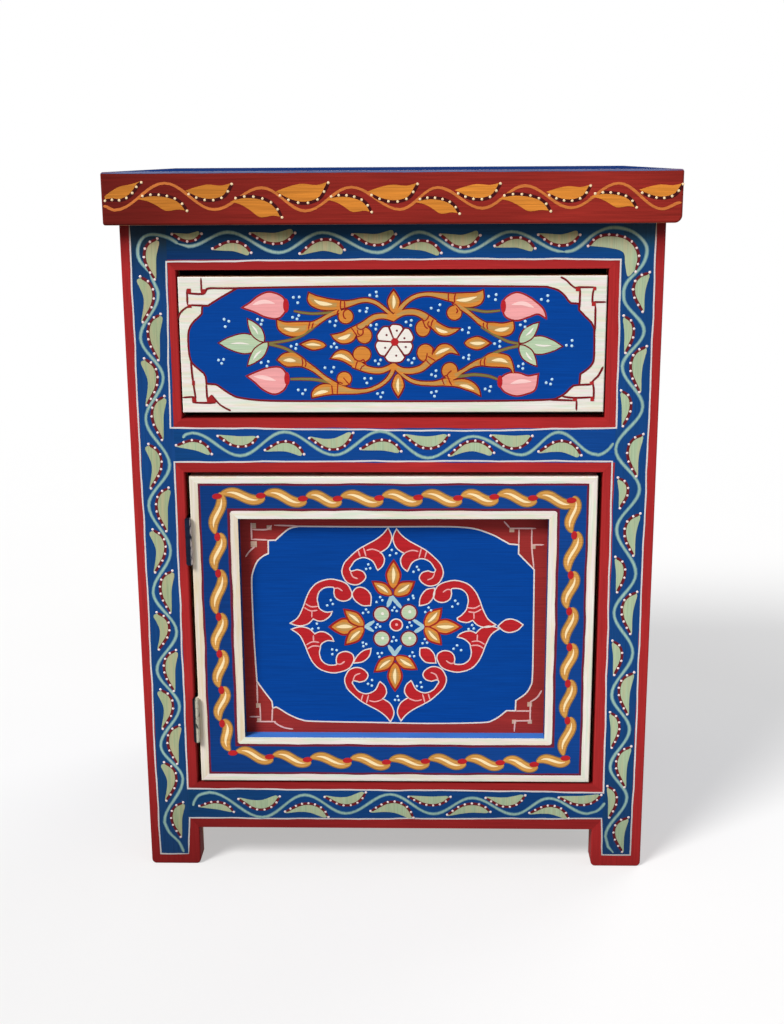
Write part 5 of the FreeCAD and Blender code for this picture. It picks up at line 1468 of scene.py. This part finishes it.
# The flower in the middle: first and last angle in degrees and reach of each petal, and its seeds
FLOWER_MIDDLE = (2.2, 465.3)
FLOWER_PETALS = [(55.5, 111.5, 13.8), (0, 55.5, 15.2), (-55.5, 0, 14.5), (-124.5, -55.5, 16.5),
                 (-184, -124.5, 15.6), (111.5, 176, 14.8)]
FLOWER_SEEDS = [(3.9, 474.4), (10, 468.3), (11.1, 461.2), (3.3, 454.2), (-4.4, 470.9), (-5.6, 460.6)]
# Four orange drops round it: base, tip and width
FLOWER_DROPS = [((1.5, 487.6), (1.5, 508.5), 9.2), ((4.6, 440.5), (4.8, 418.6), 9),
                ((-52.6, 462.6), (-76, 463.8), 7.6), ((57.6, 464.2), (81.2, 464.2), 9.8)]
BUD_RIM = 1.4
BUD_STRIPE_WIDTH = 3.2
TULIP_RIM = 1.1
TULIP_STRIPE_WIDTH = 1.5
FLOWER_RIM = 1.3
SEED_RADIUS = 0.9
FLOWER_MIDDLE_RADIUS = 3.2


def paint_buds():
    """Four pink buds with a light stripe and a red base."""
    shapes = [outline(over, under) for over, under in BUDS]
    on_drawer("bud_rims", halo_red, UNDER, [grown(loop, BUD_RIM) for loop in shapes])
    on_drawer("bud_petals", pink, MOTIF, shapes)
    on_drawer("bud_stripes", pale_pink, OVER,
              [stroke(smooth(way), BUD_STRIPE_WIDTH, pointed=True) for way in BUD_STRIPES])
    on_drawer("bud_bases", scroll_red, LAST, [round_spot(*base) for base in BUD_BASES])


def paint_tulips():
    """Two pale sage tulips; their side petals lie over the middle one."""
    for name, places, lift in (("middle", TULIPS[0::3], UNDER + 2 * HAIR),
                               ("side", TULIPS[1::3] + TULIPS[2::3], MOTIF + 3 * HAIR)):
        petals = [petal(*place) for place in places]
        on_drawer("tulip_" + name + "_rims", dark_red, lift, [grown(p, TULIP_RIM) for p in petals])
        on_drawer("tulip_" + name + "_petals", pale_sage, lift + 3 * HAIR, petals)
    veins = []
    for base, tip, width in TULIPS:
        at = local(base, tip)
        way = smooth([at(0.34, 0.4), at(0.54, -0.3), at(0.76, 0.3)])
        veins.append(stroke(way, TULIP_STRIPE_WIDTH, pointed=True))
    on_drawer("tulip_stripes", petal_white, OVER + 5 * HAIR, veins)


def flower_petal(first, last, reach):
    """A petal of the flower between two angles, with a narrow foot and a broad rim."""
    span = last - first
    edge = math.degrees(0.85 / reach)

    def at(share, angle):
        return (FLOWER_MIDDLE[0] + share * reach * math.cos(math.radians(angle)),
                FLOWER_MIDDLE[1] + share * reach * math.sin(math.radians(angle)))
    rim = [at(0.99, first + 0.28 * span), at(0.99, first + 0.72 * span), at(0.88, last - 1.1 * edge)]
    return outline([at(0.24, first + 3.2 * edge)], [at(0.88, first + 1.1 * edge)], rim,
                   [at(0.24, last - 3.2 * edge)], [at(0.14, first + span / 2)])


def paint_flowers():
    """Pink buds, pale sage tulips, the six-petalled flower and four orange drops."""
    paint_buds()
    paint_tulips()
    fills = [flower_petal(*place) for place in FLOWER_PETALS]
    on_drawer("flower_ground", dark_red, MOTIF + 2 * HAIR, [grown(loop, FLOWER_RIM) for loop in fills])
    on_drawer("flower_petals", petal_white, OVER + 2 * HAIR, fills)
    on_drawer("flower_seeds", rim_brown, LAST,
              [round_spot(u, v, SEED_RADIUS, count=10) for u, v in FLOWER_SEEDS])
    on_drawer("flower_middle", scroll_red, LAST + 2 * HAIR,
              [round_spot(*FLOWER_MIDDLE, FLOWER_MIDDLE_RADIUS)])
    petal_coats("drop", on_drawer, FLOWER_DROPS, UNDER + 5 * HAIR, dark_red, 1.2)


DRAWER_TRIPLETS = [
    (-79, 501.3), (-74.3, 501.6), (-75.6, 497), (-17.6, 502.8), (-12.4, 505.3), (-12, 502), (-25.8, 490.3),
    (-19.8, 492.4), (-20.6, 489.7), (-80, 485.3), (-75, 486.7), (-76.4, 484), (-50, 481.7), (-45, 482.4),
    (-46, 478.6), (-135.4, 483.9), (-131.6, 482.3), (-134.7, 478), (-108.4, 483.8), (-104.6, 482.9),
    (-105.6, 479.8), (-17, 478.7), (-12.4, 479.3), (-13, 475.6), (-81.7, 462), (-77.2, 463.4), (-78, 460.1),
    (-46.8, 464), (-49.2, 461.4), (-44.8, 460.9), (-141.1, 450.9), (-137, 451.4), (-138.6, 448.1),
    (-106.4, 448.7), (-100.6, 449.6), (-101.8, 445.8), (-54.6, 444.4), (-47.4, 444.7), (-49.2, 441),
    (-13.7, 450), (-9.4, 450.7), (-10.9, 447.4), (-22.4, 435.6), (-17.2, 435.6), (-20.6, 431.9),
    (-76.7, 426.3), (-71, 426.2), (-73.2, 423.1), (-12, 423.1), (-7.8, 423.9), (-9.4, 420.3),
    (77.6, 501.6), (83.6, 502.9), (83.1, 498.9), (31.7, 492.3), (38.6, 495), (37.4, 490.4), (11.4, 481.3),
    (15.7, 482.6), (15.2, 478.6), (119.8, 499), (124.8, 502), (125, 497.8), (103.3, 478.7), (107.1, 481.7),
    (107.1, 477), (56.7, 474.9), (62.3, 476.4), (61.6, 472.6), (82.8, 463.6), (87, 465.6), (87, 461.4),
    (140.6, 462.2), (145.1, 466.1), (145, 461.7), (57.8, 452.3), (62.2, 454.3), (62, 451.4), (13.2, 450.6),
    (17.8, 451.8), (16.1, 448.2), (32, 438.6), (35.6, 441.8), (35.3, 437.4), (102.3, 445.3), (106, 447.2),
    (105.8, 443.4), (125, 431.8), (129.6, 434.6), (128.6, 430.7), (31.9, 423.9), (35.9, 424.8), (34.4, 420.9),
    (75.6, 426.8), (80, 428.7), (79.1, 425.1)]


DRAWER_FIELD = outline(
    [(-60, 509.6), (20, 510), (90, 509.4), (120, 509), (126, 508.3), (133, 506), (138, 502), (141, 498),
     (143.4, 495.8)],
    [(149.6, 495.4)], [(149.8, 490.6)],
    [(155, 485.2), (160, 480.2), (162.4, 475)],
    [(162.8, 462), (162.7, 451), (161, 446.5), (157.5, 442.8), (152.2, 439)],
    [(151.6, 430.2)], [(147, 429.7)],
    [(144, 427), (140, 423), (135, 420), (129, 418.3), (100, 417.4), (40, 417), (-40, 417.2), (-100, 417.6),
     (-124, 420), (-132, 423), (-138, 427), (-142.5, 430.3), (-145, 431.2)],
    [(-151.6, 431.8)],
    [(-152, 437), (-153.6, 440.4)],
    [(-156.5, 442.8), (-160.5, 446.4), (-163.6, 450.5), (-165, 460), (-164.8, 472), (-163, 477.8),
     (-160, 482), (-156, 485.5), (-153.2, 488.3)],
    [(-152.6, 494.6)], [(-148, 494.8)],
    [(-144.5, 497), (-137, 501.5), (-130, 505.4), (-124, 508.7)])
# Knots in the drawer's corners: their lines, and their patches as middle and half sizes
DRAWER_KNOTS = [
    [(-164.7, 508), (-164.7, 495.6)], [(-153, 517.2), (-153, 505)], [(-164, 495.5), (-147, 494.8)],
    [(-164.4, 504.9), (-153, 504.3), (-150.2, 505.6), (-147.4, 508.7), (-136, 508.8), (-122, 508.8)],
    [(-173.4, 484.4), (-171, 489), (-167.4, 492.4), (-163.5, 494.6)],
    [(134.6, 516.8), (139, 514.4), (143, 510.6), (147.4, 507.4)], [(146.4, 508.6), (163, 508.6)],
    [(150.4, 508.4), (150.3, 491)], [(161.6, 508), (160.5, 503), (160.4, 495.4)],
    [(160.4, 496.8), (171.6, 496.8)], [(163, 495), (163.2, 472)],
    [(-163.8, 450), (-163.4, 442), (-162.6, 432.4), (-160.9, 418)], [(-172, 420.2), (-162, 420.8)],
    [(-164, 416), (-145, 415.6)], [(-152, 432), (-151.6, 418)],
    [(-148, 422.2), (-145, 418.4), (-141.2, 414.2), (-137, 411.4), (-132.6, 409.2)],
    [(126, 418), (150, 417.2)], [(138, 420.6), (148, 419.4), (163.4, 420)], [(150, 417.6), (149.9, 409)],
    [(162.5, 432), (163.6, 426), (163.6, 417.6)], [(150.4, 430), (162, 430.4)],
    [(170.6, 445), (167.2, 438), (163.4, 434), (161, 431.2)]]
DRAWER_PATCHES = [
    (-163, 506.8, 1.6, 1.8), (-151.6, 506.4, 1.8, 1.8), (-163, 494.6, 1.6, 1.4), (148.6, 507, 1.7, 1.5),
    (162, 507.4, 1.3, 1.3), (161.6, 495.3, 1.6, 1.7), (-162.4, 432.2, 1.2, 1.9), (-162.4, 418.4, 1.8, 1.9),
    (161.8, 431.4, 1.7, 1.3), (162.6, 418.4, 1.5, 1.8), (148.6, 417.8, 1.7, 1.2)]
DRAWER_WEDGE = [(-148.2, 422.6), (-144.2, 416), (-152, 415.8), (-152, 419)]
DRAWER_LINE_EDGES = (1.0, 0.6)
DRAWER_KNOT_WIDTH = 1.6
DRAWER_DOT = 1.2


def paint_drawer():
    """The drawer front: cream border with knotted corners round a blue field full of flowers."""
    on_drawer("drawer_blue_field", blue_field, GROUND, [DRAWER_FIELD])
    on_drawer("drawer_field_line", dark_red, UNDER, [edging(DRAWER_FIELD, *DRAWER_LINE_EDGES)])
    on_drawer("drawer_knot_lines", dark_red, UNDER + 3 * HAIR,
              [stroke(smooth(line, 4), DRAWER_KNOT_WIDTH) for line in DRAWER_KNOTS])
    on_drawer("drawer_knot_patches", red_across, MOTIF,
              [patch(*place) for place in DRAWER_PATCHES] + [outline(*[[corner] for corner in DRAWER_WEDGE])])
    paint_arabesque()
    paint_flowers()
    on_drawer("drawer_dots", dot_blue, DOT_HEIGHT, dots(DRAWER_TRIPLETS, DRAWER_DOT))


# Light, floor and camera
def sun_light(name, direction, spread, power, colour):
    """An even light from far away with soft shadows."""
    lamp = bpy.data.lights.new(name, "SUN")
    lamp.angle = math.radians(spread)
    lamp.energy = power
    lamp.color = colour
    made = bpy.data.objects.new(name, lamp)
    made.rotation_mode = "QUATERNION"
    made.rotation_quaternion = Vector(direction).to_track_quat("Z", "Y")
    bpy.context.scene.collection.objects.link(made)


def seen_directly(tree):
    """One for rays that show a thing to the eye: straight, mirrored or through glass."""
    path = add(tree, "ShaderNodeLightPath")
    total = path.outputs["Is Camera Ray"]
    for name in ("Is Glossy Ray", "Is Transmission Ray"):
        total = reckoned(tree, "MAXIMUM", total, path.outputs[name])
    return total


def make_surround():
    """A white surrounding that lights the object at a plain level."""
    world = bpy.data.worlds.new("studio")
    bpy.context.scene.world = world
    world.use_nodes = True
    tree = world.node_tree
    tree.nodes.clear()
    colour = mixed(tree, seen_directly(tree), [0.30, 0.30, 0.31, 1.0], [1.0, 1.0, 1.0, 1.0])
    surround = add(tree, "ShaderNodeBackground", Strength=1.0, Color=colour)
    add(tree, "ShaderNodeOutputWorld", Surface=surround.outputs["Background"])


def floor_finish():
    """A dull pale floor that fades into the white surrounding away from the object."""
    material, tree, shader = new_material("floor")
    seen = seen_directly(tree)
    clouds = noise(tree, "X", 3.0, 3.0, 2.0, 0.3, 0.7)
    pale = mixed(tree, clouds, [0.78, 0.78, 0.78, 1], [0.80, 0.80, 0.80, 1])
    fill(tree, shader, Base_Color=mixed(tree, seen, [0.42, 0.42, 0.42, 1], pale), Roughness=0.9,
         Specular_IOR_Level=0.0)
    far = add(tree, "ShaderNodeVectorMath", operation="LENGTH", Vector=own_place(tree))
    fading = remapped(tree, far.outputs["Value"], From_Min=0.5, From_Max=2.2, To_Min=0.45, To_Max=1.0)
    glow = add(tree, "ShaderNodeEmission", Strength=1.0)
    blend = add(tree, "ShaderNodeMixShader")
    share = reckoned(tree, "MULTIPLY", fading, seen)
    for place, output in enumerate((share, shader.outputs[0], glow.outputs[0])):
        tree.links.new(output, blend.inputs[place])
    tree.links.new(blend.outputs[0], tree.nodes["Material Output"].inputs["Surface"])
    return material


def make_floor():
    """A broad level floor under the object."""
    mesh = bpy.data.meshes.new("floor")
    half = 12.0
    mesh.from_pydata([(u, v, 0) for u, v in box_line(-half, -half, half, half)], [], [(0, 1, 2, 3)])
    mesh.materials.append(floor_finish())
    floor = bpy.data.objects.new("floor", mesh)
    bpy.context.scene.collection.objects.link(floor)


def make_studio():
    """The surrounding, the floor, and a large key light from the upper left with two weaker ones."""
    make_surround()
    make_floor()
    sun_light("key", (-0.9, -1.0, 1.25), 20, 3.6, (1.0, 0.99, 0.97))
    sun_light("fill", (1.2, -1.0, 0.5), 60, 0.25, (0.98, 0.99, 1.0))
    sun_light("back", (0.9, 1.2, 0.8), 40, 1.0, (1.0, 1.0, 1.0))


def make_camera():
    """The camera stands where the photograph was taken from."""
    place = Vector((28.1, -1290.3, 611.7)) * MM
    yaw = math.radians(-1.46)
    pitch = math.radians(14.23)
    roll = math.radians(0.34)
    ahead = Vector((math.sin(yaw) * math.cos(pitch), math.cos(yaw) * math.cos(pitch), -math.sin(pitch)))
    right = Vector((math.cos(yaw), -math.sin(yaw), 0))
    down = ahead.cross(right)
    turned_right = right * math.cos(roll) + down * math.sin(roll)
    turned_down = down * math.cos(roll) - right * math.sin(roll)
    axes = Matrix((turned_right, -turned_down, -ahead)).transposed().to_4x4()
    data = bpy.data.cameras.new("camera")
    data.lens = 49.49
    data.sensor_width = 36
    camera = bpy.data.objects.new("camera", data)
    camera.matrix_world = Matrix.Translation(place) @ axes
    bpy.context.scene.collection.objects.link(camera)
    bpy.context.scene.camera = camera


coat_boards()
coat_fittings()
paint_frame()
paint_edge()
paint_top_and_sides()
paint_door_border()
paint_panel()
paint_drawer()
make_studio()
make_camera()
bpy.context.scene.view_settings.view_transform = "Standard"
